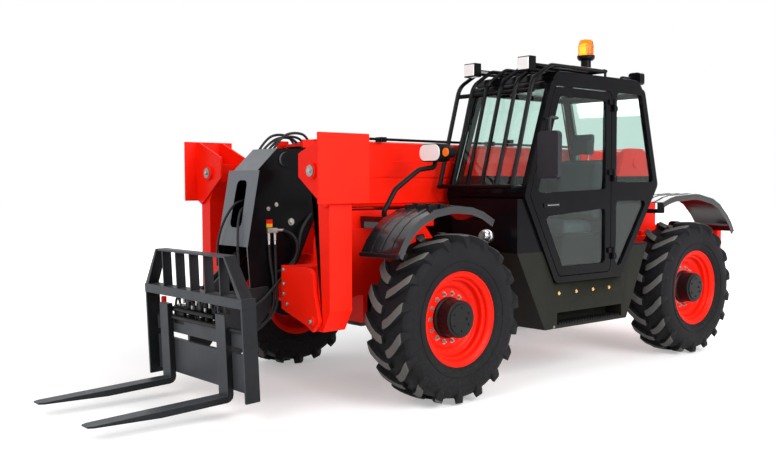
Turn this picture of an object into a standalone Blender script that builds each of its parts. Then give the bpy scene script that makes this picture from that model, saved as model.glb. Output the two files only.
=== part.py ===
"""A telehandler with a side cab, a three-section boom, a fork carriage and two front stabilisers.

Metres, +Z up, the ground at z = 0. The machine faces -Y and its left side is +X. Sizes along y are measured from
the front axle: the empty named machine carries everything and puts the whole in the middle of its own length.
"""

import math

import bmesh
import bpy
from mathutils import Matrix, Vector

for thing in list(bpy.data.objects):
    bpy.data.objects.remove(thing)

# Driving dimensions
WHEELBASE = 3.07
WHEEL_PLANE_X = 0.99
TYRE_RADIUS = 0.61
TYRE_WIDTH = 0.40
REAR_END_Y = 4.00
BOOM_PIVOT_Y = 3.40
BOOM_PIVOT_Z = 1.78

# Fits: flat faces that touch, moving faces that pass, and how far a cutter runs past what it cuts
SEAT = 0.0003
THRUST = 0.0006
CLEAR = 0.006
OVERRUN = 0.02
WELD = 0.004

# Facets of round pieces
TYRE_STEPS = 54
RIM_STEPS = 30
HUB_STEPS = 22
PIN_SIDES = 16
SMALL_SIDES = 10
BAR_STEPS = 2

# Colour, roughness and metallic value of each finish
FINISHES = {
    "red_paint": ((0.80, 0.045, 0.02), 0.35, 0.0),
    "black_paint": ((0.012, 0.012, 0.013), 0.3, 0.0),
    "skirt_paint": ((0.035, 0.034, 0.028), 0.55, 0.0),
    "fork_paint": ((0.06, 0.065, 0.07), 0.5, 0.3),
    "frame_paint": ((0.02, 0.02, 0.022), 0.6, 0.0),
    "tyre_rubber": ((0.02, 0.02, 0.02), 0.85, 0.0),
    "plastic": ((0.015, 0.015, 0.015), 0.5, 0.0),
    "seat_cloth": ((0.05, 0.055, 0.06), 0.9, 0.0),
    "green_glass": ((0.45, 0.62, 0.58), 0.05, 0.0),
    "amber_lens": ((1.0, 0.35, 0.02), 0.2, 0.0),
    "steel": ((0.55, 0.55, 0.56), 0.3, 1.0),
}


def finish(name):
    colour, roughness, metallic = FINISHES[name]
    look = bpy.data.materials.new(name)
    look.use_nodes = True
    shader = look.node_tree.nodes["Principled BSDF"]
    shader.inputs["Base Color"].default_value = (*colour, 1)
    shader.inputs["Roughness"].default_value = roughness
    shader.inputs["Metallic"].default_value = metallic
    look.diffuse_color = (*colour, 1)
    return look


LOOKS = {name: finish(name) for name in FINISHES}
PLACES = {}


def pivot(name, at, parent=None):
    """An empty at a place of the machine. Each moving body hangs from one on its joint's axis."""
    empty = bpy.data.objects.new(name, None)
    bpy.context.scene.collection.objects.link(empty)
    PLACES[name] = Vector(at)
    if parent:
        empty.parent = bpy.data.objects[parent]
        empty.location = PLACES[name] - PLACES[parent]
    return empty


def place(name, shape, body, group):
    """Puts a shape, drawn where it belongs on the machine, under its body's empty."""
    mesh = bpy.data.meshes.new(name)
    shape.transform(Matrix.Translation(-PLACES[body]))
    shape.to_mesh(mesh)
    shape.free()
    thing = bpy.data.objects.new(name, mesh)
    group.objects.link(thing)
    thing.parent = bpy.data.objects[body]
    return thing


def node(name, look, body, add, cut=(), smooth=False):
    """One named piece: the shapes in add joined into one, less the shapes in cut."""
    scene = bpy.context.scene.collection
    piece = place(name, add[0], body, scene)
    piece.data.materials.append(LOOKS[look])
    for operation, shapes in (("UNION", add[1:]), ("DIFFERENCE", cut)):
        if not shapes:
            continue
        group = bpy.data.collections.new(f"{name}_{operation.lower()}")
        scene.children.link(group)
        for index, shape in enumerate(shapes):
            helper = place(f"{group.name}_{index}", shape, body, group)
            helper.hide_render = True
            helper.display_type = "WIRE"
        modifier = piece.modifiers.new(operation.title(), "BOOLEAN")
        modifier.operation = operation
        modifier.operand_type = "COLLECTION"
        modifier.collection = group
        modifier.solver = "EXACT"
    if smooth:
        piece.data.shade_smooth()
        piece.data.set_sharp_from_angle(angle=math.radians(35))
    return piece


def face_out(shape):
    """Turns every face of a closed shape outwards."""
    bmesh.ops.recalc_face_normals(shape, faces=shape.faces)
    if shape.calc_volume(signed=True) < 0:
        bmesh.ops.reverse_faces(shape, faces=shape.faces)
    return shape


def prism(outline, along, low, high):
    """An outline extruded along an axis. Across x its points are (y, z), across y (x, z), across z (x, y)."""
    low, high = sorted((low, high))

    def point(first, second, third):
        return {"x": (third, first, second), "y": (first, third, second), "z": (first, second, third)}[along]

    shape = bmesh.new()
    face = shape.faces.new([shape.verts.new(point(a, b, low)) for a, b in outline])
    grown = bmesh.ops.extrude_face_region(shape, geom=[face])["geom"]
    far = [part for part in grown if isinstance(part, bmesh.types.BMVert)]
    bmesh.ops.translate(shape, vec=point(0, 0, high - low), verts=far)
    return face_out(shape)


def box(x_low, x_high, y_low, y_high, z_low, z_high):
    corners = ((y_low, z_low), (y_high, z_low), (y_high, z_high), (y_low, z_high))
    return prism(corners, "x", x_low, x_high)


def cylinder(start, end, radius, sides=PIN_SIDES):
    start, end = Vector(start), Vector(end)
    shape = bmesh.new()
    length = (end - start).length
    bmesh.ops.create_cone(shape, cap_ends=True, segments=sides, radius1=radius, radius2=radius, depth=length)
    shape.transform(
        Matrix.Translation((start + end) / 2) @ (end - start).to_track_quat("Z", "Y").to_matrix().to_4x4()
    )
    return shape


def spun(profile, steps, side=1):
    """A closed profile of (radius, distance out) turned about the z axis."""
    shape = bmesh.new()
    ring = [shape.verts.new((radius, 0, side * out)) for radius, out in profile]
    edges = [shape.edges.new(pair) for pair in zip(ring, ring[1:] + ring[:1])]
    bmesh.ops.spin(
        shape,
        geom=ring + edges,
        cent=(0, 0, 0),
        axis=(0, 0, 1),
        dvec=(0, 0, 0),
        angle=math.tau,
        steps=steps,
        use_merge=True,
        use_duplicate=False,
    )
    bmesh.ops.remove_doubles(shape, verts=shape.verts, dist=SEAT / 10)
    return shape


def stood(shape, centre, turn=0):
    """A spun shape stood up about a line along x through centre, with its first ring at the bottom."""
    upright = Matrix.Rotation(math.pi / 2, 4, "Y") @ Matrix.Rotation(turn, 4, "Z")
    shape.transform(Matrix.Translation(centre) @ upright)
    return face_out(shape)


def lathe(profile, centre, steps, side=1):
    return stood(spun(profile, steps, side), centre, math.pi / steps)


def bar(points, radius, resolution=BAR_STEPS):
    """A round bar along a run of points, from a curve with a bevel and filled caps."""
    curve = bpy.data.curves.new("bar", "CURVE")
    curve.dimensions = "3D"
    curve.bevel_depth = radius
    curve.bevel_resolution = resolution
    curve.use_fill_caps = True
    spline = curve.splines.new("POLY")
    spline.points.add(len(points) - 1)
    for knot, point in zip(spline.points, points):
        knot.co = (*point, 1)
    guide = bpy.data.objects.new("bar", curve)
    shape = bmesh.new()
    shape.from_mesh(bpy.data.meshes.new_from_object(guide))
    bpy.data.objects.remove(guide)
    bmesh.ops.remove_doubles(shape, verts=shape.verts, dist=SEAT / 10)
    return face_out(shape)


def rounded(points, radius, steps=3, closed=True):
    """The points with each corner turned into an arc. radius is one size, or one for each corner."""
    points = [Vector(point) for point in points]
    radii = list(radius) if isinstance(radius, (list, tuple)) else [radius] * len(points)
    made = []
    for index, corner in enumerate(points):
        last = index == 0 or index == len(points) - 1
        if radii[index] == 0 or (last and not closed):
            made.append(tuple(corner))
            continue
        back = (points[index - 1] - corner).normalized()
        ahead = (points[(index + 1) % len(points)] - corner).normalized()
        half = back.angle(ahead) / 2
        middle = corner + (back + ahead).normalized() * radii[index] / math.sin(half)
        first = corner + back * radii[index] / math.tan(half) - middle
        second = corner + ahead * radii[index] / math.tan(half) - middle
        sweep = math.pi - 2 * half
        for step in range(steps + 1):
            share = step / steps
            turned = first * math.sin((1 - share) * sweep) + second * math.sin(share * sweep)
            made.append(tuple(middle + turned / math.sin(sweep)))
    return made


def inset(outline, distance):
    """The outline moved in by a distance, each side kept parallel. A negative distance moves it out."""
    points = [Vector(point) for point in outline]
    area = sum(a.x * b.y - b.x * a.y for a, b in zip(points, points[1:] + points[:1]))
    sense = 1 if area > 0 else -1
    moved = []
    for index, corner in enumerate(points):
        back = (corner - points[index - 1]).normalized()
        ahead = (points[(index + 1) % len(points)] - corner).normalized()
        normals = [Vector((-way.y, way.x)) * sense for way in (back, ahead)]
        lean = normals[0] + normals[1]
        moved.append(tuple(corner + lean * distance / (1 + normals[0].dot(normals[1]))))
    return moved


def shares(table, origin, size):
    """An outline from shares of a size, counted from an origin."""
    return [(origin[0] + a * size[0], origin[1] + b * size[1]) for a, b in table]


def along_edge(start, end, height):
    """Where the line from start to end, both (y, z), stands at a height."""
    return start[0] + (end[0] - start[0]) * (height - start[1]) / (end[1] - start[1])


def turned(shape, at, degrees):
    """A shape turned about a line along x through at, (y, z)."""
    centre = Vector((0, *at))
    turn = Matrix.Rotation(math.radians(degrees), 4, "X")
    shape.transform(Matrix.Translation(centre) @ turn @ Matrix.Translation(-centre))
    return shape


# Wheels: a rim with a deep dish, a planetary hub and a tyre
BEAD_RADIUS = 0.312
FLANGE_RADIUS = 0.343
FLANGE_THICK = 0.012
RIM_HALF_WIDTH = 0.168
RIM_WALL = 0.014
DISH_RADIUS = 0.235
DISC_OUT = 0.034
DISC_THICK = 0.016
HUB_RADIUS = 0.135
HUB_NOSE_OUT = 0.182
HUB_NOSE_RADIUS = 0.105
HUB_FLANGE_RADIUS = 0.200
HUB_BACK = 0.050
TREAD_HALF_WIDTH = 0.155
BEAD_HALF_WIDTH = 0.140
BULGE_RADIUS = 0.465
SHOULDER_RADIUS = 0.570
SHOULDER_OUT = 0.172
LUG_START = 0.022
LUG_END_TALL = 0.005
LUG_TOP_SHARE = 0.68
LUG_TURN_DEG = 12
LUG_EVERY = 3

CORNERS = (
    # name, side, axle's y, sense of the axle's rear side
    ("fl", 1, 0.0, 1),
    ("fr", -1, 0.0, 1),
    ("rl", 1, WHEELBASE, -1),
    ("rr", -1, WHEELBASE, -1),
)


def tyre_profile():
    half = (
        (BEAD_RADIUS + SEAT * 2, BEAD_HALF_WIDTH),
        (BULGE_RADIUS, TYRE_WIDTH / 2 - LUG_END_TALL),
        (SHOULDER_RADIUS, SHOULDER_OUT),
        (SHOULDER_RADIUS + LUG_END_TALL, LUG_START),
    )
    return half + tuple((radius, -out) for radius, out in reversed(half))


def grow_lugs(shape, step):
    """Grows every third patch of the tread, with the shoulder below it, into a lug. The two sides take turns."""
    patches = []
    for face in shape.faces:
        middle = face.calc_center_median()
        if abs(middle.z) < LUG_START or math.hypot(middle.x, middle.y) < BULGE_RADIUS:
            continue
        index = math.floor(math.atan2(middle.y, middle.x) % math.tau / step)
        if index % LUG_EVERY == (0 if middle.z > 0 else 1):
            patches.append(face)
    grown = bmesh.ops.extrude_face_region(shape, geom=patches)["geom"]
    bmesh.ops.delete(shape, geom=patches, context="FACES")
    for vert in [part for part in grown if isinstance(part, bmesh.types.BMVert)]:
        radius = math.hypot(vert.co.x, vert.co.y)
        first = (0 if vert.co.z > 0 else 1) * step
        along = math.atan2(vert.co.y, vert.co.x) % math.tau
        lug = math.floor((along - first + step) / (LUG_EVERY * step)) * LUG_EVERY * step + first + step / 2
        along = lug + (along - lug) * LUG_TOP_SHARE
        out = math.copysign(TYRE_WIDTH / 2, vert.co.z)
        if radius > BULGE_RADIUS + LUG_END_TALL:
            radius = TYRE_RADIUS
            out = math.copysign(min(abs(vert.co.z), TREAD_HALF_WIDTH), vert.co.z)
        vert.co = (radius * math.cos(along), radius * math.sin(along), out)


def tyre_shape(centre):
    """The carcass with its lugs. The shoulders turn ahead of the middle, so the lugs lie in a herringbone."""
    step = math.tau / TYRE_STEPS
    shape = spun(tyre_profile(), TYRE_STEPS)
    grow_lugs(shape, step)
    for vert in shape.verts:
        angle = 0 if abs(vert.co.z) < LUG_START + LUG_END_TALL else -math.radians(LUG_TURN_DEG)
        if vert.co.z < 0:
            angle += step / 2
        vert.co.rotate(Matrix.Rotation(angle, 3, "Z"))
    lowest = max(
        shape.verts, key=lambda vert: (round(vert.co.xy.length, 5), -abs(math.atan2(vert.co.y, vert.co.x)))
    )
    return stood(shape, centre, -math.atan2(lowest.co.y, lowest.co.x))


def rim_profile():
    """The rim with its dish and the planetary hub in one, from the hub's nose round to its back."""
    inner = BEAD_RADIUS - RIM_WALL
    bowl_back = DISC_OUT - DISC_THICK
    return (
        (0, HUB_NOSE_OUT),
        (HUB_NOSE_RADIUS, HUB_NOSE_OUT),
        (HUB_RADIUS, HUB_NOSE_OUT - DISC_THICK),
        (HUB_RADIUS, DISC_OUT),
        (DISH_RADIUS - RIM_WALL, DISC_OUT),
        (inner - RIM_WALL, DISC_OUT + HUB_BACK),
        (inner, RIM_HALF_WIDTH),
        (FLANGE_RADIUS, RIM_HALF_WIDTH),
        (FLANGE_RADIUS, RIM_HALF_WIDTH - FLANGE_THICK),
        (BEAD_RADIUS, RIM_HALF_WIDTH - FLANGE_THICK),
        (BEAD_RADIUS, FLANGE_THICK - RIM_HALF_WIDTH),
        (FLANGE_RADIUS, FLANGE_THICK - RIM_HALF_WIDTH),
        (FLANGE_RADIUS, -RIM_HALF_WIDTH),
        (inner, -RIM_HALF_WIDTH),
        (inner, DISC_OUT),
        (DISH_RADIUS, bowl_back),
        (HUB_FLANGE_RADIUS, bowl_back - DISC_THICK / 2),
        (HUB_FLANGE_RADIUS, bowl_back - DISC_THICK * 2),
        (HUB_RADIUS, -HUB_BACK),
        (0, -HUB_BACK),
    )


def wheel(name, side, y, _):
    centre = (side * WHEEL_PLANE_X, y, TYRE_RADIUS)
    body = f"at_wheel_{name}"
    pivot(body, centre, f"at_knuckle_{name}")
    node(f"tyre_{name}", "tyre_rubber", body, [tyre_shape(centre)], smooth=True)
    node(f"rim_{name}", "red_paint", body, [lathe(rim_profile(), centre, RIM_STEPS, side)], smooth=True)


# Axles: a beam with a bulge for its gears, and a yoke at each end that holds a knuckle
KINGPIN_X = 0.80
YOKE_RADIUS = 0.068
YOKE_GAP = 0.125
YOKE_THICK = 0.042
YOKE_WALL_X = 0.625
AXLE_RADIUS = 0.072
AXLE_BULGE_RADIUS = 0.175
AXLE_BULGE_HALF = 0.19
AXLE_BULGE_NECK = 0.11
TRUNNION_RADIUS = 0.07
TRUNNION_REACH = 0.21
DRUM_RADIUS = 0.150
DRUM_BACK_X = 0.086
NECK_HALF = 0.062
STEER_ARM_REACH = 0.20
STEER_ARM_HALF = 0.035
STEER_ARM_THICK = 0.035
STEER_CYLINDER_RADIUS = 0.045
STEER_CYLINDER_OFF = 0.115
STEER_CYLINDER_HALF = 0.30
STEER_ROD_RADIUS = 0.022
STEER_ROD_HALF = 0.45


def knuckle(name, side, y, rear):
    body = f"at_knuckle_{name}"
    pin = Vector((side * KINGPIN_X, y, TYRE_RADIUS))
    pivot(body, pin, "machine")
    tall = Vector((0, 0, YOKE_GAP - THRUST))
    hub_back_x = WHEEL_PLANE_X - HUB_BACK - THRUST
    drum = cylinder(
        (side * (KINGPIN_X + DRUM_BACK_X), y, pin.z), (side * hub_back_x, y, pin.z), DRUM_RADIUS, HUB_STEPS
    )
    neck_x = sorted((side * KINGPIN_X, side * (KINGPIN_X + DRUM_BACK_X + WELD)))
    neck = box(*neck_x, y - NECK_HALF, y + NECK_HALF, pin.z - YOKE_GAP + CLEAR, pin.z + YOKE_GAP - CLEAR)
    arm_y = sorted((y, y + rear * STEER_ARM_REACH))
    arm_x = sorted((side * (KINGPIN_X - STEER_ARM_HALF), side * (KINGPIN_X + STEER_ARM_HALF)))
    arm = box(*arm_x, *arm_y, pin.z - STEER_ARM_THICK / 2, pin.z + STEER_ARM_THICK / 2)
    node(
        f"knuckle_{name}", "frame_paint", body, [cylinder(pin - tall, pin + tall, YOKE_RADIUS), drum, neck, arm]
    )


def axle(name, y, rear):
    bulge = (
        (0, -AXLE_BULGE_HALF),
        (AXLE_BULGE_NECK, -AXLE_BULGE_HALF),
        (AXLE_BULGE_RADIUS, -AXLE_BULGE_HALF / 3),
        (AXLE_BULGE_RADIUS, AXLE_BULGE_HALF / 3),
        (AXLE_BULGE_NECK, AXLE_BULGE_HALF),
        (0, AXLE_BULGE_HALF),
    )
    centre = (0, y, TYRE_RADIUS)
    add = [
        cylinder((-YOKE_WALL_X, y, TYRE_RADIUS), (YOKE_WALL_X, y, TYRE_RADIUS), AXLE_RADIUS),
        lathe(bulge, centre, HUB_STEPS),
        cylinder((0, y - TRUNNION_REACH, TYRE_RADIUS), (0, y + TRUNNION_REACH, TYRE_RADIUS), TRUNNION_RADIUS),
        cylinder_across(y + rear * STEER_CYLINDER_OFF, STEER_CYLINDER_HALF, STEER_CYLINDER_RADIUS),
        cylinder_across(y + rear * STEER_CYLINDER_OFF, STEER_ROD_HALF, STEER_ROD_RADIUS),
    ]
    reach = YOKE_GAP + YOKE_THICK
    for side in (1, -1):
        wall = sorted((side * (YOKE_WALL_X - WELD), side * (YOKE_WALL_X + YOKE_THICK)))
        half = YOKE_RADIUS - WELD
        add.append(box(*wall, y - half, y + half, TYRE_RADIUS - reach + WELD, TYRE_RADIUS + reach - WELD))
        for up in (1, -1):
            near = TYRE_RADIUS + up * YOKE_GAP
            far = TYRE_RADIUS + up * reach
            add.append(cylinder((side * KINGPIN_X, y, near), (side * KINGPIN_X, y, far), YOKE_RADIUS))
            arm = sorted((side * YOKE_WALL_X, side * KINGPIN_X))
            add.append(box(*arm, y - half, y + half, *sorted((near + up * WELD, far - up * WELD))))
    node(f"{name}_axle", "frame_paint", "machine", add)


def cylinder_across(y, half, radius):
    return cylinder((-half, y, TYRE_RADIUS), (half, y, TYRE_RADIUS), radius)


# Chassis: two side plates joined by a deck, cross members and the saddles that hold the axles
FRAME_HALF = 0.40
FRAME_PLATE = 0.035
FRAME_FRONT_Y = -0.60
FRAME_REAR_Y = 3.82
FRAME_TOP_Z = 1.05
FRAME_ARCH_Z = 0.74
FRAME_BELLY_Z = 0.45
FRAME_ARCH_HALF = 0.33
FRAME_ARCH_FOOT = 0.64
FRAME_NOSE_Z = 0.66
DECK_TOP_Z = 0.94
DECK_THICK = 0.02
DECK_REAR_Y = 2.20
CROSS_THICK = 0.03
CROSS_LOW_Z = 0.50
SADDLE_THICK = 0.04
SADDLE_LOW_Z = 0.52
SADDLE_UNDER_RAM_Z = 0.86
FRAME_CROSSES = 4
FRAME_SHOULDER_Z = 1.24
FRAME_SHOULDER_REAR_Y = 0.36
FRAME_SHOULDER_FOOT_Y = 0.52
FRAME_NOSE_ROUND = 0.10


def side_plate_outline():
    rear = WHEELBASE
    return (
        (FRAME_FRONT_Y, FRAME_NOSE_Z),
        (-FRAME_ARCH_HALF, FRAME_ARCH_Z),
        (FRAME_ARCH_HALF, FRAME_ARCH_Z),
        (FRAME_ARCH_FOOT, FRAME_BELLY_Z),
        (rear - FRAME_ARCH_FOOT, FRAME_BELLY_Z),
        (rear - FRAME_ARCH_HALF, FRAME_ARCH_Z),
        (rear + FRAME_ARCH_HALF, FRAME_ARCH_Z),
        (FRAME_REAR_Y - SEAT, FRAME_NOSE_Z),
        (FRAME_REAR_Y - SEAT, FRAME_TOP_Z),
        (FRAME_SHOULDER_FOOT_Y, FRAME_TOP_Z),
        (FRAME_SHOULDER_REAR_Y, FRAME_SHOULDER_Z),
        (FRAME_FRONT_Y + FRAME_NOSE_ROUND, FRAME_SHOULDER_Z),
        (FRAME_FRONT_Y, FRAME_SHOULDER_Z - FRAME_NOSE_ROUND),
    )


def chassis_frame():
    inner = FRAME_HALF - FRAME_PLATE
    add = [prism(side_plate_outline(), "x", side * inner, side * FRAME_HALF) for side in (1, -1)]
    wide = (-inner - WELD, inner + WELD)
    add.append(box(*wide, FRAME_FRONT_Y + WELD, DECK_REAR_Y, DECK_TOP_Z - DECK_THICK, DECK_TOP_Z))
    for axle_y in (0, WHEELBASE):
        for way in (1, -1):
            near = axle_y + way * (TRUNNION_REACH + SEAT)
            faces = sorted((near, near + way * SADDLE_THICK))
            top = FRAME_TOP_Z - WELD
            if axle_y == WHEELBASE:
                top = SADDLE_UNDER_RAM_Z if way < 0 else TOWER_FOOT_Z - SEAT
            add.append(box(*wide, *faces, SADDLE_LOW_Z, top))
    first, last = FRAME_ARCH_FOOT + OVERRUN, WHEELBASE - FRAME_ARCH_FOOT - OVERRUN
    for index in range(FRAME_CROSSES):
        y = first + (last - first) * index / (FRAME_CROSSES - 1)
        add.append(
            box(*wide, y - CROSS_THICK / 2, y + CROSS_THICK / 2, CROSS_LOW_Z, DECK_TOP_Z - DECK_THICK / 2)
        )
    tail = FRAME_REAR_Y - SEAT - WELD
    add.append(box(*wide, tail - CROSS_THICK, tail, FRAME_NOSE_Z + WELD, FRAME_TOP_Z - WELD))
    nose = FRAME_FRONT_Y + WELD
    add.append(box(*wide, nose, nose + CROSS_THICK, FRAME_NOSE_Z + WELD, FRAME_TOP_Z - WELD))
    wall = WHEELBASE + TRUNNION_REACH + SADDLE_THICK / 2
    radius = LIFT_LUG_RADIUS
    lug = (
        (wall, LIFT_FOOT_Z + radius),
        (wall, LIFT_FOOT_Z - radius),
        (LIFT_FOOT_Y - radius / 2, LIFT_FOOT_Z - radius),
        (LIFT_FOOT_Y - radius, LIFT_FOOT_Z),
        (LIFT_FOOT_Y - radius / 2, LIFT_FOOT_Z + radius),
    )
    for side in (1, -1):
        add.append(prism(lug, "x", side * LIFT_LUG_HALF, side * (LIFT_LUG_HALF + LIFT_LUG_PLATE)))
    node("chassis_frame", "red_paint", "machine", add)


# Front frame: the box that carries both stabilisers, with a notch for the boom's head
HOUSING_IN_X = 0.33
HOUSING_OUT_X = 0.715
HOUSING_LOW_Z = 0.69
HOUSING_HIGH_Z = 1.00
HOUSING_PLATE = 0.03
HOUSING_BACK_PLATE = 0.014
GIRDER_HALF = 0.42
LEG_PIVOT_X = 0.70
LEG_PIVOT_Z = 0.64
LEG_FRONT_Y = -0.93
LEG_REAR_Y = -0.74
LUG_RADIUS = 0.075
CROWN_X = 0.48
CROWN_Z = 1.14
CROWN_RADIUS = 0.085
PIN_RADIUS = 0.032
PIN_PROUD = 0.022


def front_frame():
    """A box girder across the nose. Two plates at each end hold the leg's pivot between them."""
    back = FRAME_FRONT_Y - SEAT
    waist = HOUSING_LOW_Z + (HOUSING_HIGH_Z - HOUSING_LOW_Z) / 2
    girder = (-GIRDER_HALF, GIRDER_HALF, LEG_REAR_Y + CLEAR + WELD / 2, back)
    add = [box(*girder, HOUSING_LOW_Z + WELD / 2, HOUSING_HIGH_Z - WELD / 2)]
    pin_front = LEG_FRONT_Y - HOUSING_PLATE - PIN_PROUD
    pin_back = LEG_REAR_Y + CLEAR + WELD
    plate_front = LEG_FRONT_Y - CLEAR - HOUSING_PLATE
    for side in (1, -1):
        face = (
            (side * HOUSING_IN_X, HOUSING_LOW_Z),
            (side * (LEG_PIVOT_X - LUG_RADIUS), LEG_PIVOT_Z - LUG_RADIUS / 2),
            (side * LEG_PIVOT_X, LEG_PIVOT_Z - LUG_RADIUS),
            (side * (LEG_PIVOT_X + LUG_RADIUS), LEG_PIVOT_Z),
            (side * HOUSING_OUT_X, waist),
            (side * HOUSING_OUT_X, HOUSING_HIGH_Z),
            (side * HOUSING_IN_X, HOUSING_HIGH_Z),
        )
        add.append(prism(
            rounded(face, (0, 0, 0, LUG_RADIUS / 2, 0, LUG_RADIUS, 0)), "y", plate_front, LEG_FRONT_Y - CLEAR
        ))
        rear_face = (
            (side * (HOUSING_IN_X + WELD), HOUSING_LOW_Z + WELD),
            (side * LEG_PIVOT_X, LEG_PIVOT_Z - LUG_RADIUS),
            (side * (LEG_PIVOT_X + LUG_RADIUS), LEG_PIVOT_Z),
            (side * HOUSING_OUT_X, waist),
            (side * (HOUSING_OUT_X - WELD), HOUSING_HIGH_Z - WELD),
            (side * (CROWN_X + CROWN_RADIUS), HOUSING_HIGH_Z - WELD),
            (side * (CROWN_X + CROWN_RADIUS), CROWN_Z + CROWN_RADIUS),
            (side * (CROWN_X - CROWN_RADIUS), CROWN_Z + CROWN_RADIUS),
            (side * (CROWN_X - CROWN_RADIUS), HOUSING_HIGH_Z - WELD),
            (side * (HOUSING_IN_X + WELD), HOUSING_HIGH_Z - WELD),
        )
        crown_round = CROWN_RADIUS * TANG_SHARE
        rear_face = rounded(rear_face, (0, 0, 0, 0, 0, 0, crown_round, crown_round, 0, 0))
        add.append(prism(rear_face, "y", LEG_REAR_Y + CLEAR, LEG_REAR_Y + CLEAR + HOUSING_BACK_PLATE))
        inner = sorted((side * (HOUSING_IN_X + WELD), side * (LEG_PIVOT_X - LUG_RADIUS * 2)))
        add.append(
            box(
                *inner,
                plate_front + WELD,
                LEG_REAR_Y + CLEAR + WELD,
                HOUSING_LOW_Z + WELD,
                HOUSING_HIGH_Z - WELD,
            )
        )
        add.append(
            cylinder(
                (side * CROWN_X, LEG_REAR_Y + CLEAR - PIN_PROUD, CROWN_Z),
                (side * CROWN_X, LEG_REAR_Y + CLEAR + WELD, CROWN_Z),
                PIN_RADIUS,
            )
        )
        pin_runs = (
            (pin_front, pin_back, PIN_RADIUS),
            (LEG_FRONT_Y - CLEAR - WELD, LEG_FRONT_Y - THRUST, WASHER_RADIUS),
            (LEG_REAR_Y + THRUST, LEG_REAR_Y + CLEAR + WELD, WASHER_RADIUS),
        )
        for near, far, radius in pin_runs:
            add.append(cylinder(
                (side * LEG_PIVOT_X, near, LEG_PIVOT_Z), (side * LEG_PIVOT_X, far, LEG_PIVOT_Z), radius
            ))
    notch_half = HOUSING_IN_X - WELD
    notch = box(
        -notch_half,
        notch_half,
        LEG_REAR_Y - OVERRUN,
        back - HOUSING_PLATE,
        HOUSING_LOW_Z + HOUSING_PLATE,
        HOUSING_HIGH_Z + OVERRUN,
    )
    node("front_frame", "red_paint", "machine", add, [notch])


# Stabilisers: a leg on a pivot at its lower end, and a foot on a pin at its upper end
LEG_IN_X = 0.72
LEG_OUT_X = 0.85
LEG_TOP_Z = 1.45
LEG_TIP_Z = 1.73
LEG_BORE_CLEAR = 0.002
FOOT_PIN_X = 0.69
FOOT_PIN_Z = 1.66
FOOT_FRONT_Y = -1.055
FOOT_REAR_Y = -0.625
FOOT_OUT_X = 0.90
FOOT_PLATE = 0.018
FOOT_LOW_Z = 1.41
FOOT_HIGH_Z = 1.91
FOOT_IN_X = 0.52
FOOT_MID_LOW_Z = 1.62
FOOT_MID_HIGH_Z = 1.78
FOOT_EDGE_LOW_X = 0.82
FOOT_FOLD = 0.03
WASHER_RADIUS = 0.055


def stabiliser(name, side):
    leg_body, foot_body = f"at_leg_{name}", f"at_foot_{name}"
    pivot(leg_body, (side * LEG_PIVOT_X, LEG_FRONT_Y, LEG_PIVOT_Z), "machine")
    pivot(foot_body, (side * FOOT_PIN_X, LEG_FRONT_Y, FOOT_PIN_Z), leg_body)
    lug = LUG_RADIUS - WELD
    outline = (
        (side * (LEG_PIVOT_X - lug), LEG_PIVOT_Z),
        (side * (LEG_PIVOT_X - lug / 2), LEG_PIVOT_Z - lug),
        (side * (LEG_PIVOT_X + lug), LEG_PIVOT_Z - lug),
        (side * LEG_OUT_X, LEG_PIVOT_Z + lug),
        (side * LEG_OUT_X, LEG_TOP_Z),
        (side * (FOOT_PIN_X + lug), LEG_TIP_Z),
        (side * (FOOT_PIN_X - lug), LEG_TIP_Z),
        (side * (FOOT_PIN_X - lug), FOOT_PIN_Z - lug),
        (side * LEG_IN_X, LEG_TOP_Z),
        (side * LEG_IN_X, LEG_PIVOT_Z + lug),
    )
    bore = cylinder(
        (side * LEG_PIVOT_X, LEG_FRONT_Y - OVERRUN, LEG_PIVOT_Z),
        (side * LEG_PIVOT_X, LEG_REAR_Y + OVERRUN, LEG_PIVOT_Z),
        PIN_RADIUS + LEG_BORE_CLEAR,
    )
    foot_bore = cylinder(
        (side * FOOT_PIN_X, LEG_FRONT_Y - OVERRUN, FOOT_PIN_Z),
        (side * FOOT_PIN_X, LEG_REAR_Y + OVERRUN, FOOT_PIN_Z),
        PIN_RADIUS + LEG_BORE_CLEAR,
    )
    node(f"stabiliser_leg_{name}", "red_paint", leg_body, [prism(
        outline, "y", LEG_FRONT_Y, LEG_REAR_Y
    )], [bore, foot_bore])
    stabiliser_foot(name, side, foot_body)


def stabiliser_foot(name, side, body):
    """A channel: the pad that meets the ground when it is down, and a cheek on each side of the leg."""
    pad_in = FOOT_OUT_X - FOOT_PLATE
    pad = box(*sorted(
        (side * pad_in, side * FOOT_OUT_X)
    ), FOOT_FRONT_Y, FOOT_REAR_Y, FOOT_LOW_Z + FOOT_FOLD, FOOT_HIGH_Z)
    cheek = (
        (side * (pad_in + WELD), FOOT_LOW_Z + FOOT_FOLD + WELD),
        (side * (pad_in + WELD), FOOT_HIGH_Z - WELD),
        (side * (pad_in - FOOT_FOLD), FOOT_HIGH_Z - WELD),
        (side * FOOT_IN_X, FOOT_MID_HIGH_Z),
        (side * FOOT_IN_X, FOOT_MID_LOW_Z),
        (side * FOOT_EDGE_LOW_X, FOOT_LOW_Z),
    )
    add = [pad]
    for face, way in ((LEG_FRONT_Y, -1), (LEG_REAR_Y, 1)):
        near = face + way * THRUST
        add.append(prism(cheek, "y", near, near + way * FOOT_PLATE))
        add.append(
            cylinder(
                (side * FOOT_PIN_X, near, FOOT_PIN_Z),
                (side * FOOT_PIN_X, near + way * (FOOT_PLATE + PIN_PROUD), FOOT_PIN_Z),
                WASHER_RADIUS,
            )
        )
    add.append(
        cylinder(
            (side * FOOT_PIN_X, LEG_FRONT_Y - WELD, FOOT_PIN_Z), (side * FOOT_PIN_X, LEG_REAR_Y + WELD, FOOT_PIN_Z), PIN_RADIUS
        )
    )
    node(f"stabiliser_foot_{name}", "red_paint", body, add)


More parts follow.
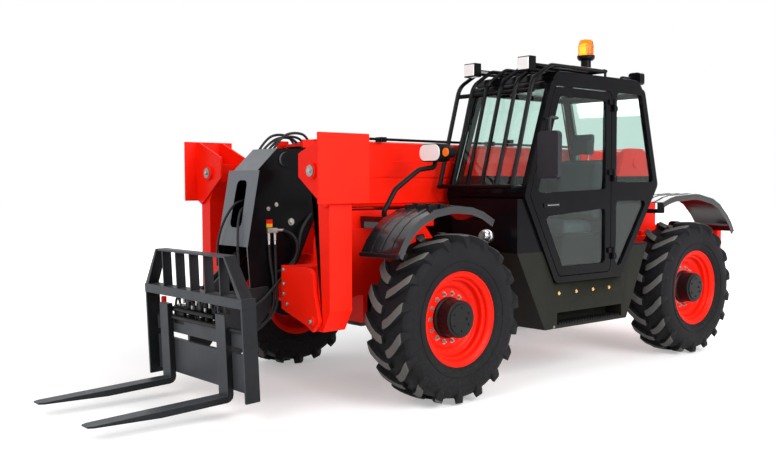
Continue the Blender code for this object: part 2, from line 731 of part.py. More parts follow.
# Boom tower: two cheeks that hold the boom's pivot
TOWER_IN_X = 0.222
TOWER_PLATE = 0.045
TOWER_FRONT_Y = 2.95
TOWER_REAR_Y = 3.78
TOWER_CROSSES_Y = (3.38, 3.62)
TOWER_HEAD_HALF = 0.17
TOWER_TOP_Z = 1.93
TOWER_FOOT_Z = 0.99
BOOM_PIN_RADIUS = 0.05
BOOM_PIN_CLEAR = 0.002


def boom_tower():
    outline = rounded(
        (
            (TOWER_FRONT_Y, TOWER_FOOT_Z),
            (TOWER_REAR_Y, TOWER_FOOT_Z),
            (TOWER_REAR_Y, FRAME_TOP_Z + TOWER_HEAD_HALF * 2),
            (BOOM_PIVOT_Y + TOWER_HEAD_HALF, TOWER_TOP_Z),
            (BOOM_PIVOT_Y - TOWER_HEAD_HALF, TOWER_TOP_Z),
            (TOWER_FRONT_Y, FRAME_TOP_Z + TOWER_HEAD_HALF),
        ),
        (0, 0, TOWER_HEAD_HALF, TOWER_HEAD_HALF / 2, TOWER_HEAD_HALF / 2, TOWER_HEAD_HALF),
    )
    outer = TOWER_IN_X + TOWER_PLATE
    add = [prism(outline, "x", side * TOWER_IN_X, side * outer) for side in (1, -1)]
    reach = outer + PIN_PROUD
    add.append(
        cylinder((-reach, BOOM_PIVOT_Y, BOOM_PIVOT_Z), (reach, BOOM_PIVOT_Y, BOOM_PIVOT_Z), BOOM_PIN_RADIUS)
    )
    inner = FRAME_HALF - FRAME_PLATE - SEAT
    for y in TOWER_CROSSES_Y:
        add.append(
            box(-inner, inner, y, y + TOWER_PLATE, TOWER_FOOT_Z - TOWER_PLATE, FRAME_TOP_Z + TOWER_PLATE)
        )
    node("boom_tower", "red_paint", "machine", add)


# Counterweight, tail lamps and hitch
TAIL_HALF = 0.95
TAIL_LOW_Z = 0.62
TAIL_HIGH_Z = 1.14
TAIL_CORNER = 0.09
TAIL_LAMP_WIDE = 0.16
TAIL_LAMP_TALL = 0.10
TAIL_LAMP_PROUD = 0.018
HITCH_HALF = 0.075
HITCH_LOW_Z = 0.50
HITCH_REACH = 0.11
HITCH_JAW = 0.03


def tail():
    deep = REAR_END_Y - TAIL_LAMP_PROUD
    outline = (
        (-TAIL_HALF, FRAME_REAR_Y),
        (TAIL_HALF, FRAME_REAR_Y),
        (TAIL_HALF, deep - TAIL_CORNER),
        (TAIL_HALF - TAIL_CORNER, deep),
        (TAIL_CORNER - TAIL_HALF, deep),
        (-TAIL_HALF, deep - TAIL_CORNER),
    )
    add = [prism(outline, "z", TAIL_LOW_Z, TAIL_HIGH_Z)]
    for side in (1, -1):
        middle = side * (TAIL_HALF - TAIL_CORNER - TAIL_LAMP_WIDE)
        across = sorted((middle - TAIL_LAMP_WIDE / 2, middle + TAIL_LAMP_WIDE / 2))
        top = TAIL_HIGH_Z - TAIL_CORNER
        add.append(box(*across, deep - WELD, REAR_END_Y, top - TAIL_LAMP_TALL, top))
    jaw_front = FRAME_REAR_Y + HITCH_JAW
    add.append(box(-HITCH_HALF, HITCH_HALF, jaw_front, jaw_front + HITCH_REACH, HITCH_LOW_Z, TAIL_LOW_Z + WELD))
    mouth = box(
        -HITCH_HALF - OVERRUN,
        HITCH_HALF + OVERRUN,
        jaw_front + HITCH_JAW,
        jaw_front + HITCH_REACH + OVERRUN,
        HITCH_LOW_Z + HITCH_JAW,
        TAIL_LOW_Z - HITCH_JAW,
    )
    node("counterweight", "red_paint", "machine", add, [mouth])


# Boom: three box sections, one inside the other, and a head
BOOM_HALF = 0.205
BOOM_TOP_Z = 1.905
BOOM_BOTTOM_Z = 1.385
BOOM_FOLD = 0.04
BOOM_WALL = 0.010
BOOM_STEP = 0.020
BOOM_FRONT_Y = -0.42
MID_FRONT_Y = -0.50
INNER_FRONT_Y = -0.5647
BOOM_TAIL_Y = 3.50
MID_TAIL_Y = 3.18
INNER_TAIL_Y = 2.95
BOSS_RADIUS = 0.15
COLLAR_LONG = 0.065
COLLAR_PROUD = 0.012
BOOM_BULKHEAD_Y = 3.22


def tube_outline(step):
    half = BOOM_HALF - step
    low, high = BOOM_BOTTOM_Z + step, BOOM_TOP_Z - step
    square = ((-half, low), (half, low), (half, high), (-half, high))
    return rounded(square, max(BOOM_FOLD - step / 2, BOOM_WALL), 2)


def section(name, look, body, step, front, back, extras=()):
    """A box section with its collar, whose pads the next section slides on."""
    collar = inset(tube_outline(step), -COLLAR_PROUD)
    add = [prism(
        tube_outline(step), "y", front + WELD, back
    ), prism(collar, "y", front, front + COLLAR_LONG), *extras]
    bore = prism(tube_outline(step + BOOM_WALL), "y", front + COLLAR_LONG, min(back + OVERRUN, BOOM_BULKHEAD_Y))
    pads = inset(tube_outline(step + BOOM_STEP), -THRUST)
    mouth = prism(pads, "y", front - OVERRUN, front + COLLAR_LONG + WELD)
    return node(name, look, body, add, [bore, mouth])


LIFT_EYE_Y = 2.05
LIFT_EYE_Z = 1.325
LIFT_FOOT_Y = 3.10
LIFT_FOOT_Z = 0.90
LIFT_LUG_HALF = 0.075
LIFT_LUG_PLATE = 0.025
LIFT_LUG_RADIUS = 0.07


def boom():
    pivot("at_boom", (0, BOOM_PIVOT_Y, BOOM_PIVOT_Z), "machine")
    pivot("at_mid", (0, BOOM_FRONT_Y, BOOM_PIVOT_Z), "at_boom")
    pivot("at_inner", (0, MID_FRONT_Y, BOOM_PIVOT_Z), "at_mid")
    boss_half = TOWER_IN_X - THRUST
    boss = cylinder((
        -boss_half, BOOM_PIVOT_Y, BOOM_PIVOT_Z
    ), (boss_half, BOOM_PIVOT_Y, BOOM_PIVOT_Z), BOSS_RADIUS, HUB_STEPS)
    extras = [boss]
    for side in (1, -1):
        lug = (
            (LIFT_EYE_Y - LIFT_LUG_RADIUS * 2, BOOM_BOTTOM_Z + BOOM_WALL / 2),
            (LIFT_EYE_Y - LIFT_LUG_RADIUS, LIFT_EYE_Z - LIFT_LUG_RADIUS / 2),
            (LIFT_EYE_Y, LIFT_EYE_Z - LIFT_LUG_RADIUS),
            (LIFT_EYE_Y + LIFT_LUG_RADIUS, LIFT_EYE_Z - LIFT_LUG_RADIUS / 2),
            (LIFT_EYE_Y + LIFT_LUG_RADIUS * 2, BOOM_BOTTOM_Z + BOOM_WALL / 2),
        )
        extras.append(prism(lug, "x", side * LIFT_LUG_HALF, side * (LIFT_LUG_HALF + LIFT_LUG_PLATE)))
    outer = section("boom_outer", "red_paint", "at_boom", 0, BOOM_FRONT_Y, BOOM_TAIL_Y, extras)
    reach = boss_half + OVERRUN
    hole = cylinder(
        (-reach, BOOM_PIVOT_Y, BOOM_PIVOT_Z), (reach, BOOM_PIVOT_Y, BOOM_PIVOT_Z), BOOM_PIN_RADIUS + BOOM_PIN_CLEAR, HUB_STEPS
    )
    add_cut(outer, "at_boom", hole)
    section("boom_mid", "red_paint", "at_mid", BOOM_STEP, MID_FRONT_Y, MID_TAIL_Y)
    plain = prism(tube_outline(2 * BOOM_STEP), "y", INNER_FRONT_Y, INNER_TAIL_Y)
    bore = prism(
        tube_outline(2 * BOOM_STEP + BOOM_WALL), "y", INNER_FRONT_Y + BOOM_WALL, INNER_TAIL_Y + OVERRUN
    )
    node("boom_inner", "black_paint", "at_inner", [plain], [bore])


def add_union(piece, body, shapes):
    """Joins more shapes to a piece after its cuts."""
    group = bpy.data.collections.new(f"{piece.name}_after")
    bpy.context.scene.collection.children.link(group)
    for index, shape in enumerate(shapes):
        helper = place(f"{group.name}_{index}", shape, body, group)
        helper.hide_render = True
        helper.display_type = "WIRE"
    modifier = piece.modifiers.new("After", "BOOLEAN")
    modifier.operation = "UNION"
    modifier.operand_type = "COLLECTION"
    modifier.collection = group
    modifier.solver = "EXACT"


def add_cut(piece, body, shape):
    group = bpy.data.collections[f"{piece.name}_difference"]
    helper = place(f"{group.name}_more", shape, body, group)
    helper.hide_render = True
    helper.display_type = "WIRE"


# Head: a folded shell with a slot in its front, which carries the fork carriage at its lower end
HEAD_HALF = 0.205
HEAD_WALL = 0.012
HEAD_REAR_Y = -0.565
HEAD_BROW_Y = -1.06
HEAD_BROW_Z = 1.67
HEAD_CHIN_Y = -1.165
HEAD_CHIN_Z = 1.12
HEAD_BACK_LOW_Z = 1.355
HEAD_ELBOW_Y = -0.73
HEAD_ELBOW_Z = 1.00
HEAD_HEEL_Y = -0.925
HEAD_HEEL_Z = 0.84
TILT_PIN_Y = -1.05
TILT_PIN_Z = 0.75
HEAD_TOE_RADIUS = 0.085
CREST_HALF = 0.16
CREST_Y = -0.88
CREST_Z = 1.83
SLOT_HALF = 0.078
SLOT_TAPER = 0.85
SLOT_LOW_Z = 1.26
SLOT_HIGH_Z = 1.60


def head():
    toe = HEAD_TOE_RADIUS
    outline = (
        (HEAD_REAR_Y, HEAD_BROW_Z),
        (HEAD_BROW_Y, HEAD_BROW_Z),
        (HEAD_CHIN_Y, HEAD_CHIN_Z),
        (TILT_PIN_Y - toe, TILT_PIN_Z),
        (TILT_PIN_Y - toe / 2, TILT_PIN_Z - toe),
        (TILT_PIN_Y + toe / 2, TILT_PIN_Z - toe),
        (HEAD_HEEL_Y, HEAD_HEEL_Z),
        (HEAD_ELBOW_Y, HEAD_ELBOW_Z),
        (HEAD_REAR_Y, HEAD_BACK_LOW_Z),
    )
    crest = (
        (HEAD_REAR_Y, CREST_Z),
        (CREST_Y, CREST_Z),
        (HEAD_BROW_Y + HEAD_WALL, HEAD_BROW_Z),
        (HEAD_BROW_Y + HEAD_WALL, HEAD_BROW_Z - HEAD_WALL / 2),
        (HEAD_REAR_Y, HEAD_BROW_Z - HEAD_WALL / 2),
    )
    crest_pin = (CREST_HALF + PIN_PROUD, (CREST_Y + HEAD_REAR_Y) / 2 - HEAD_TOE_RADIUS, (CREST_Z + HEAD_BROW_Z) / 2)
    hollow = inset(outline, HEAD_WALL)
    open_low = HEAD_CHIN_Z + HEAD_WALL
    under = (
        (HEAD_CHIN_Y - OVERRUN, open_low),
        (HEAD_CHIN_Y - OVERRUN, TILT_PIN_Z - toe - OVERRUN),
        (HEAD_REAR_Y + OVERRUN, TILT_PIN_Z - toe - OVERRUN),
        (HEAD_REAR_Y + OVERRUN, HEAD_BACK_LOW_Z - HEAD_WALL),
        (HEAD_ELBOW_Y, HEAD_ELBOW_Z + HEAD_WALL * 4),
    )
    inside = HEAD_HALF - HEAD_WALL
    slot = rounded(
        (
            (-SLOT_HALF, SLOT_LOW_Z),
            (SLOT_HALF, SLOT_LOW_Z),
            (SLOT_HALF * SLOT_TAPER, SLOT_HIGH_Z),
            (-SLOT_HALF * SLOT_TAPER, SLOT_HIGH_Z),
        ),
        SLOT_HALF / 2,
    )
    add = [
        prism(outline, "x", -HEAD_HALF, HEAD_HALF),
        prism(crest, "x", -CREST_HALF, CREST_HALF),
        cylinder((-crest_pin[0], *crest_pin[1:]), crest_pin, WASHER_RADIUS),
    ]
    cut = [
        prism(hollow, "x", -inside, inside),
        prism(under, "x", -inside, inside),
        prism(slot, "y", HEAD_CHIN_Y - OVERRUN, (HEAD_CHIN_Y + HEAD_REAR_Y) / 2),
    ]
    lugs = [prism(
        tilt_foot_lug(), "x", *sorted((side * EYE_LUG_IN, side * (EYE_LUG_IN + EYE_LUG_PLATE)))
    ) for side in (1, -1)]
    piece = node("boom_head", "black_paint", "at_inner", add, cut)
    add_union(piece, "at_inner", lugs)


def tilt_foot_lug():
    """A lug on the inside of the head's back wall, round the tilt cylinder's foot."""
    wall = HEAD_REAR_Y - HEAD_WALL / 2
    half = TILT_BARREL_RADIUS
    return (
        (wall, TILT_FOOT_Z + half * 2),
        (TILT_FOOT_Y, TILT_FOOT_Z + half),
        (TILT_FOOT_Y - half, TILT_FOOT_Z),
        (TILT_FOOT_Y, TILT_FOOT_Z - half),
        (wall, TILT_FOOT_Z - half),
    )


# Cylinders: a barrel on its foot's pin and a rod that ends at its eye
TILT_FOOT_Y = -0.78
TILT_FOOT_Z = 1.42
TILT_EYE_Y = -1.22
TILT_EYE_Z = 0.93
TILT_BARREL_RADIUS = 0.045
TILT_BARREL_SHARE = 0.86
TILT_SPARE = 0.05
LIFT_BARREL_RADIUS = 0.065
LIFT_BARREL_SHARE = 0.945
ROD_SHARE = 0.55
EYE_SHARE = 0.85
BASE_SHARE = 1.35
TANG_SHARE = 0.8


def ram(name, foot, eye, radius, barrel_share, spare, barrel_parent, eye_half):
    """A cylinder from foot to eye, both (y, z). spare is how far the rod may sink into the barrel from here."""
    foot, eye = Vector((0, *foot)), Vector((0, *eye))
    way = (eye - foot).normalized()
    barrel_body, rod_body = f"at_{name}_barrel", f"at_{name}_rod"
    pivot(barrel_body, foot, barrel_parent)
    pivot(rod_body, eye, barrel_body)
    across = Vector((eye_half, 0, 0))
    mouth = foot + (eye - foot) * barrel_share
    eye_radius = radius * EYE_SHARE
    rod_radius = radius * ROD_SHARE
    base = foot + way * radius * BASE_SHARE
    barrel = [
        cylinder(base, mouth, radius, HUB_STEPS),
        cylinder(foot - across, foot + across, eye_radius),
        cylinder(foot, base + way * WELD, min(eye_half, radius) * TANG_SHARE),
    ]
    well_end = base + way * BOOM_STEP
    well = cylinder(well_end, mouth + way * OVERRUN, rod_radius + CLEAR, HUB_STEPS)
    node(f"{name}_cylinder_barrel", "black_paint", barrel_body, barrel, [well])
    start = well_end + way * (CLEAR + spare)
    rod = [cylinder(
        start, eye - way * WELD, rod_radius, HUB_STEPS
    ), cylinder(eye - across, eye + across, eye_radius)]
    node(f"{name}_cylinder_rod", "steel", rod_body, rod)


def rams():
    ram(
        "tilt",
        (TILT_FOOT_Y, TILT_FOOT_Z),
        (TILT_EYE_Y, TILT_EYE_Z),
        TILT_BARREL_RADIUS,
        TILT_BARREL_SHARE,
        TILT_SPARE,
        "at_inner",
        EYE_LUG_IN - THRUST,
    )
    ram(
        "lift",
        (LIFT_FOOT_Y, LIFT_FOOT_Z),
        (LIFT_EYE_Y, LIFT_EYE_Z),
        LIFT_BARREL_RADIUS,
        LIFT_BARREL_SHARE,
        0,
        "machine",
        LIFT_LUG_HALF - THRUST,
    )


# Fork carriage: uprights, rails and a plate, with a guard of flat bars above, and two forks hung on it
CARRIAGE_DROOP_DEG = 2.5
CARRIAGE_FACE_Y = -1.51
CARRIAGE_BACK_Y = -1.40
CARRIAGE_HALF = 0.685
UPRIGHT_THICK = 0.022
RAIL_LOW_Z = 0.785
RAIL_HIGH_Z = 0.85
CARRIAGE_LOW_Z = 0.165
GUARD_TOP_Z = 1.12
GUARD_HALF = 0.49
GUARD_BAR = 0.014
GUARD_BARS = 5
GUARD_DEEP = 0.095
GUARD_BAR_HALF = 0.40
BAND_LOW_Z = 0.50
BAND_HIGH_Z = 0.60
PLATE_LOW_Z = 0.20
PLATE_HIGH_Z = 0.455
PLATE_THICK = 0.03
CARRIAGE_LUG_IN = HEAD_HALF + THRUST
CARRIAGE_LUG_PLATE = 0.022
CARRIAGE_LUG_RADIUS = 0.09
EYE_LUG_IN = 0.036
EYE_LUG_PLATE = 0.02
FORK_LEFT_X = 0.34
FORK_RIGHT_X = -0.47
FORK_HALF = 0.0625
FORK_THICK = 0.045
FORK_TOP_Z = 0.715
FORK_HEEL_Z = 0.165
FORK_BLADE = 0.97
FORK_TIP_THICK = 0.012
FORK_TIP_NARROW = 0.018
FORK_HEEL_ROUND = 0.05
HOOK_DEEP = 0.03


def carriage_shape(shape):
    return turned(shape, (TILT_PIN_Y, TILT_PIN_Z), CARRIAGE_DROOP_DEG)


def fork_carriage():
    pivot("at_carriage", (0, TILT_PIN_Y, TILT_PIN_Z), "at_inner")
    face, back = CARRIAGE_FACE_Y, CARRIAGE_BACK_Y
    half = CARRIAGE_HALF
    add = [box(-half, half, face, face + GUARD_DEEP, RAIL_LOW_Z, RAIL_HIGH_Z)]
    for side in (1, -1):
        wall = sorted((side * (half - UPRIGHT_THICK), side * (half - WELD / 2)))
        add.append(box(*wall, face + WELD / 2, back, CARRIAGE_LOW_Z, RAIL_HIGH_Z - WELD / 2))
        slope = (
            (side * (half - WELD), RAIL_HIGH_Z - WELD),
            (side * (half - WELD - GUARD_DEEP / 2), RAIL_HIGH_Z - WELD),
            (side * (GUARD_HALF - GUARD_DEEP / 4), GUARD_TOP_Z - WELD / 2),
            (side * GUARD_HALF, GUARD_TOP_Z - WELD / 2),
        )
        add.append(prism(slope, "y", face + WELD, face + GUARD_DEEP - WELD))
        lug = (
            (TILT_PIN_Y + CARRIAGE_LUG_RADIUS, TILT_PIN_Z),
            (TILT_PIN_Y + CARRIAGE_LUG_RADIUS / 2, TILT_PIN_Z + CARRIAGE_LUG_RADIUS),
            (back - WELD, RAIL_HIGH_Z - WELD * 2),
            (back - WELD, PLATE_LOW_Z + PLATE_THICK),
            (TILT_PIN_Y + CARRIAGE_LUG_RADIUS / 2, TILT_PIN_Z - CARRIAGE_LUG_RADIUS),
        )
        add.append(prism(lug, "x", side * CARRIAGE_LUG_IN, side * (CARRIAGE_LUG_IN + CARRIAGE_LUG_PLATE)))
        eye_lug = (
            (TILT_EYE_Y + EYE_LUG_PLATE, TILT_EYE_Z - EYE_LUG_PLATE * 2),
            (TILT_EYE_Y + EYE_LUG_PLATE * 1.5, TILT_EYE_Z + EYE_LUG_PLATE),
            (TILT_EYE_Y - EYE_LUG_PLATE, TILT_EYE_Z + EYE_LUG_PLATE * 2),
            (back - WELD, RAIL_HIGH_Z - WELD * 2),
            (back - WELD, BAND_HIGH_Z),
        )
        add.append(prism(eye_lug, "x", side * EYE_LUG_IN, side * (EYE_LUG_IN + EYE_LUG_PLATE)))
    wide = (WELD - half, half - WELD)
    add.append(box(*wide, back - PLATE_THICK, back - WELD / 2, BAND_LOW_Z, BAND_HIGH_Z))
    add.append(box(*wide, back - PLATE_THICK, back - WELD / 2, PLATE_LOW_Z, PLATE_HIGH_Z))
    spine = (CARRIAGE_LUG_IN - WELD, CARRIAGE_LUG_IN + CARRIAGE_LUG_PLATE + WELD)
    for side in (1, -1):
        post = sorted((side * spine[0], side * spine[1]))
        add.append(
            box(*post, back - PLATE_THICK / 2, back + PLATE_THICK, PLATE_LOW_Z + WELD, RAIL_HIGH_Z - WELD * 3)
        )
        middle = sorted((side * (EYE_LUG_IN - WELD), side * (EYE_LUG_IN + EYE_LUG_PLATE + WELD)))
        add.append(
            box(*middle, back - PLATE_THICK / 2, back + PLATE_THICK, BAND_LOW_Z + WELD, RAIL_HIGH_Z - WELD * 3)
        )
    top = (WELD - GUARD_HALF, GUARD_HALF - WELD)
    add.append(box(*top, face + WELD * 2, face + GUARD_DEEP - WELD * 2, GUARD_TOP_Z - GUARD_BAR, GUARD_TOP_Z))
    for index in range(GUARD_BARS):
        x = -GUARD_BAR_HALF + 2 * GUARD_BAR_HALF * index / (GUARD_BARS - 1)
        flat = (x - GUARD_BAR / 2, x + GUARD_BAR / 2)
        add.append(
            box(*flat, face + WELD * 3, face + GUARD_DEEP - WELD * 3, RAIL_HIGH_Z - WELD, GUARD_TOP_Z - WELD)
        )
    node("fork_carriage", "fork_paint", "at_carriage", [carriage_shape(shape) for shape in add])
    fork("left", FORK_LEFT_X)
    fork("right", FORK_RIGHT_X)


def fork_tip():
    """The tip's y and lowest z, once the carriage leans by its droop."""
    lean = math.radians(CARRIAGE_DROOP_DEG)
    y = CARRIAGE_BACK_Y - PLATE_THICK - SEAT - FORK_THICK - FORK_BLADE - TILT_PIN_Y
    z = FORK_HEEL_Z - TILT_PIN_Z
    return TILT_PIN_Y + y * math.cos(lean) - z * math.sin(lean)


def fork(name, x):
    """A bent bar: a shank that lies on the carriage and a blade that tapers to its tip."""
    back = CARRIAGE_BACK_Y - PLATE_THICK - SEAT
    front = back - FORK_THICK
    tip = front - FORK_BLADE
    top, under = FORK_HEEL_Z, FORK_HEEL_Z - FORK_THICK
    outline = rounded(
        (
            (back, FORK_TOP_Z),
            (front, FORK_TOP_Z),
            (front, top),
            (tip, top),
            (tip, top - FORK_TIP_THICK),
            (front - FORK_BLADE / 2, under),
            (back, under),
        ),
        (0, 0, 0, 0, 0, 0, FORK_HEEL_ROUND),
    )
    shank = prism(outline, "x", x - FORK_HALF, x + FORK_HALF)
    hook = box(
        x - FORK_HALF + WELD,
        x + FORK_HALF - WELD,
        back - WELD,
        back + HOOK_DEEP - SEAT,
        BAND_HIGH_Z + SEAT * 2,
        BAND_HIGH_Z + HOOK_DEEP,
    )
    corners = []
    for way in (1, -1):
        edge = x + way * FORK_HALF
        corner = (
            (edge + way * OVERRUN, tip - OVERRUN),
            (edge - way * FORK_TIP_NARROW * 1.5, tip - OVERRUN),
            (edge - way * FORK_TIP_NARROW, tip),
            (edge, tip + FORK_TIP_NARROW * 2),
            (edge + way * OVERRUN, tip + FORK_TIP_NARROW * 2),
        )
        corners.append(prism(corner, "z", under - OVERRUN, top + OVERRUN))
    node(
        f"fork_{name}",
        "fork_paint",
        "at_carriage",
        [carriage_shape(shank), carriage_shape(hook)],
        [carriage_shape(shape) for shape in corners],
    )


# Cab: a shell of one wall's thickness, a roof, panes, a door and what is inside
CAB_IN_X = 0.27
CAB_OUT_X = 1.12
CAB_WALL = 0.045
CAB_FRONT_Y = 0.72
CAB_LENGTH = 1.78
CAB_FLOOR_Z = 0.785
CAB_HEIGHT = 1.60
CAB_SIDE_SHARES = ((0.694, 0.0), (1.0, 0.482), (0.879, 1.0), (0.177, 1.0), (0.0, 0.431), (0.211, 0.0))
CAB_CORNER = 0.06
ROOF_THICK = 0.07
ROOF_LIP = 0.02
ROOF_SLOPE = 0.12
PANE = 0.006
PANE_DEEP = 0.018
REBATE = 0.006
FRONT_GLASS_SHARES = (0.484, 0.953)
REAR_GLASS_LOW_SHARE = 0.534
FRONT_GLASS_LOW_Z, FRONT_GLASS_HIGH_Z = [CAB_FLOOR_Z + CAB_HEIGHT * share for share in FRONT_GLASS_SHARES]
REAR_GLASS_LOW_Z = CAB_FLOOR_Z + CAB_HEIGHT * REAR_GLASS_LOW_SHARE
PILLAR_WIDE = 0.055
DOOR_REAR_SHARE = 0.615
DOOR_HEIGHT_SHARES = (0.031, 0.397, 0.969)
DOOR_REAR_Y = CAB_FRONT_Y + CAB_LENGTH * DOOR_REAR_SHARE
DOOR_GAP = 0.006
DOOR_FRAME = 0.075
DOOR_SILL_Z, DOOR_BELT_Z, DOOR_HEAD_Z = [CAB_FLOOR_Z + CAB_HEIGHT * share for share in DOOR_HEIGHT_SHARES]
DOOR_BELT_HALF = 0.055
DOOR_CORNER = 0.05
PANE_CORNER = 0.03
BELT_RISE = 0.05
HINGE_RADIUS = 0.014
HINGE_LONG = 0.10
HINGE_SHARES = (0.128, 0.534, 0.897)
HINGE_HEIGHTS_Z = [CAB_FLOOR_Z + CAB_HEIGHT * share for share in HINGE_SHARES]
QUARTER_POST = 0.07
QUARTER_FRONT_Y = DOOR_REAR_Y + QUARTER_POST


def cab_outline():
    return shares(CAB_SIDE_SHARES, (CAB_FRONT_Y, CAB_FLOOR_Z), (CAB_LENGTH, CAB_HEIGHT))


def door_outline():
    """The door's opening: the cab's side, less its front pillar, as far back as the middle pillar."""
    rear_low, rear_mid, rear_top, front_top, front_mid, front_low = inset(cab_outline(), PILLAR_WIDE)
    head = along_edge(front_mid, front_top, DOOR_HEAD_Z)
    sill = along_edge(front_low, front_mid, DOOR_SILL_Z)
    return (
        (DOOR_REAR_Y, DOOR_SILL_Z),
        (DOOR_REAR_Y, DOOR_HEAD_Z),
        (head, DOOR_HEAD_Z),
        front_mid,
        (sill, DOOR_SILL_Z),
    )


def door_glass():
    return inset(door_outline(), DOOR_FRAME)


def door_panes():
    """The two openings in the door, one above and one below its belt."""
    low_rear, high_rear, high_front, mid_front, low_front = inset(door_glass(), REBATE)
    belt_low, belt_high = DOOR_BELT_Z - DOOR_BELT_HALF, DOOR_BELT_Z + DOOR_BELT_HALF
    upper_front = along_edge(mid_front, high_front, belt_high + BELT_RISE / 2)
    lower_front = along_edge(low_front, mid_front, belt_low - BELT_RISE)
    upper = (
        (low_rear[0], belt_high + BELT_RISE),
        high_rear,
        high_front,
        (upper_front, belt_high + BELT_RISE / 2),
    )
    lower = (low_rear, (low_rear[0], belt_low), (lower_front, belt_low - BELT_RISE), low_front)
    return upper, lower


def quarter_glass():
    """The pane behind the middle pillar, which runs on behind the belt."""
    rear_low, rear_mid, rear_top, *_ = inset(cab_outline(), PILLAR_WIDE)
    sill, front = DOOR_SILL_Z + BELT_RISE - REBATE, QUARTER_FRONT_Y - REBATE
    return (
        (front, sill),
        (along_edge(rear_low, rear_mid, sill), sill),
        rear_mid,
        (along_edge(rear_mid, rear_top, DOOR_HEAD_Z), DOOR_HEAD_Z),
        (front, DOOR_HEAD_Z),
    )


def quarter_panes():
    """The two openings behind the middle pillar."""
    rear_low, rear_mid, rear_top, *_ = inset(cab_outline(), PILLAR_WIDE + REBATE)
    belt_low, belt_high = DOOR_BELT_Z + DOOR_BELT_HALF - BELT_RISE, DOOR_BELT_Z + DOOR_BELT_HALF * 3
    high = DOOR_HEAD_Z - REBATE
    head = along_edge(rear_mid, rear_top, high)
    upper_rear = along_edge(rear_mid, rear_top, belt_high)
    lower_rear = along_edge(rear_low, rear_mid, belt_low)
    sill_rear = along_edge(rear_low, rear_mid, DOOR_SILL_Z + BELT_RISE)
    upper = (
        (QUARTER_FRONT_Y, belt_high),
        (upper_rear, belt_high),
        (head, high),
        (QUARTER_FRONT_Y, high),
    )
    lower = (
        (QUARTER_FRONT_Y, DOOR_SILL_Z + BELT_RISE),
        (sill_rear, DOOR_SILL_Z + BELT_RISE),
        (lower_rear, belt_low),
        (QUARTER_FRONT_Y, belt_low),
    )
    return upper, lower


def right_pane():
    rear_low, rear_mid, rear_top, front_top, front_mid, front_low = inset(cab_outline(), PILLAR_WIDE + CAB_WALL)
    return (
        (along_edge(rear_mid, rear_top, REAR_GLASS_LOW_Z), REAR_GLASS_LOW_Z),
        (along_edge(rear_mid, rear_top, FRONT_GLASS_HIGH_Z), FRONT_GLASS_HIGH_Z),
        (along_edge(front_mid, front_top, FRONT_GLASS_HIGH_Z), FRONT_GLASS_HIGH_Z),
        (along_edge(front_mid, front_top, REAR_GLASS_LOW_Z), REAR_GLASS_LOW_Z),
    )


def sloped_pane(low_corner, high_corner, low, high, deep):
    """A pane set in a sloping end wall, whose outer face runs from one corner to the other."""
    near_low = along_edge(low_corner, high_corner, low + SEAT)
    near_high = along_edge(low_corner, high_corner, high - SEAT)
    outline = (
        (near_low + deep, low + SEAT),
        (near_high + deep, high - SEAT),
        (near_high + deep + math.copysign(PANE, deep), high - SEAT),
        (near_low + deep + math.copysign(PANE, deep), low + SEAT),
    )
    return prism(outline, "x", CAB_IN_X + PILLAR_WIDE + SEAT, CAB_OUT_X - PILLAR_WIDE - SEAT)


def side_pane(outline, outer_x, way):
    near = outer_x - way * PANE_DEEP
    return prism(inset(outline, SEAT), "x", near, near - way * PANE)


def door_hinge():
    return CAB_OUT_X + HINGE_RADIUS + THRUST, DOOR_REAR_Y + HINGE_RADIUS


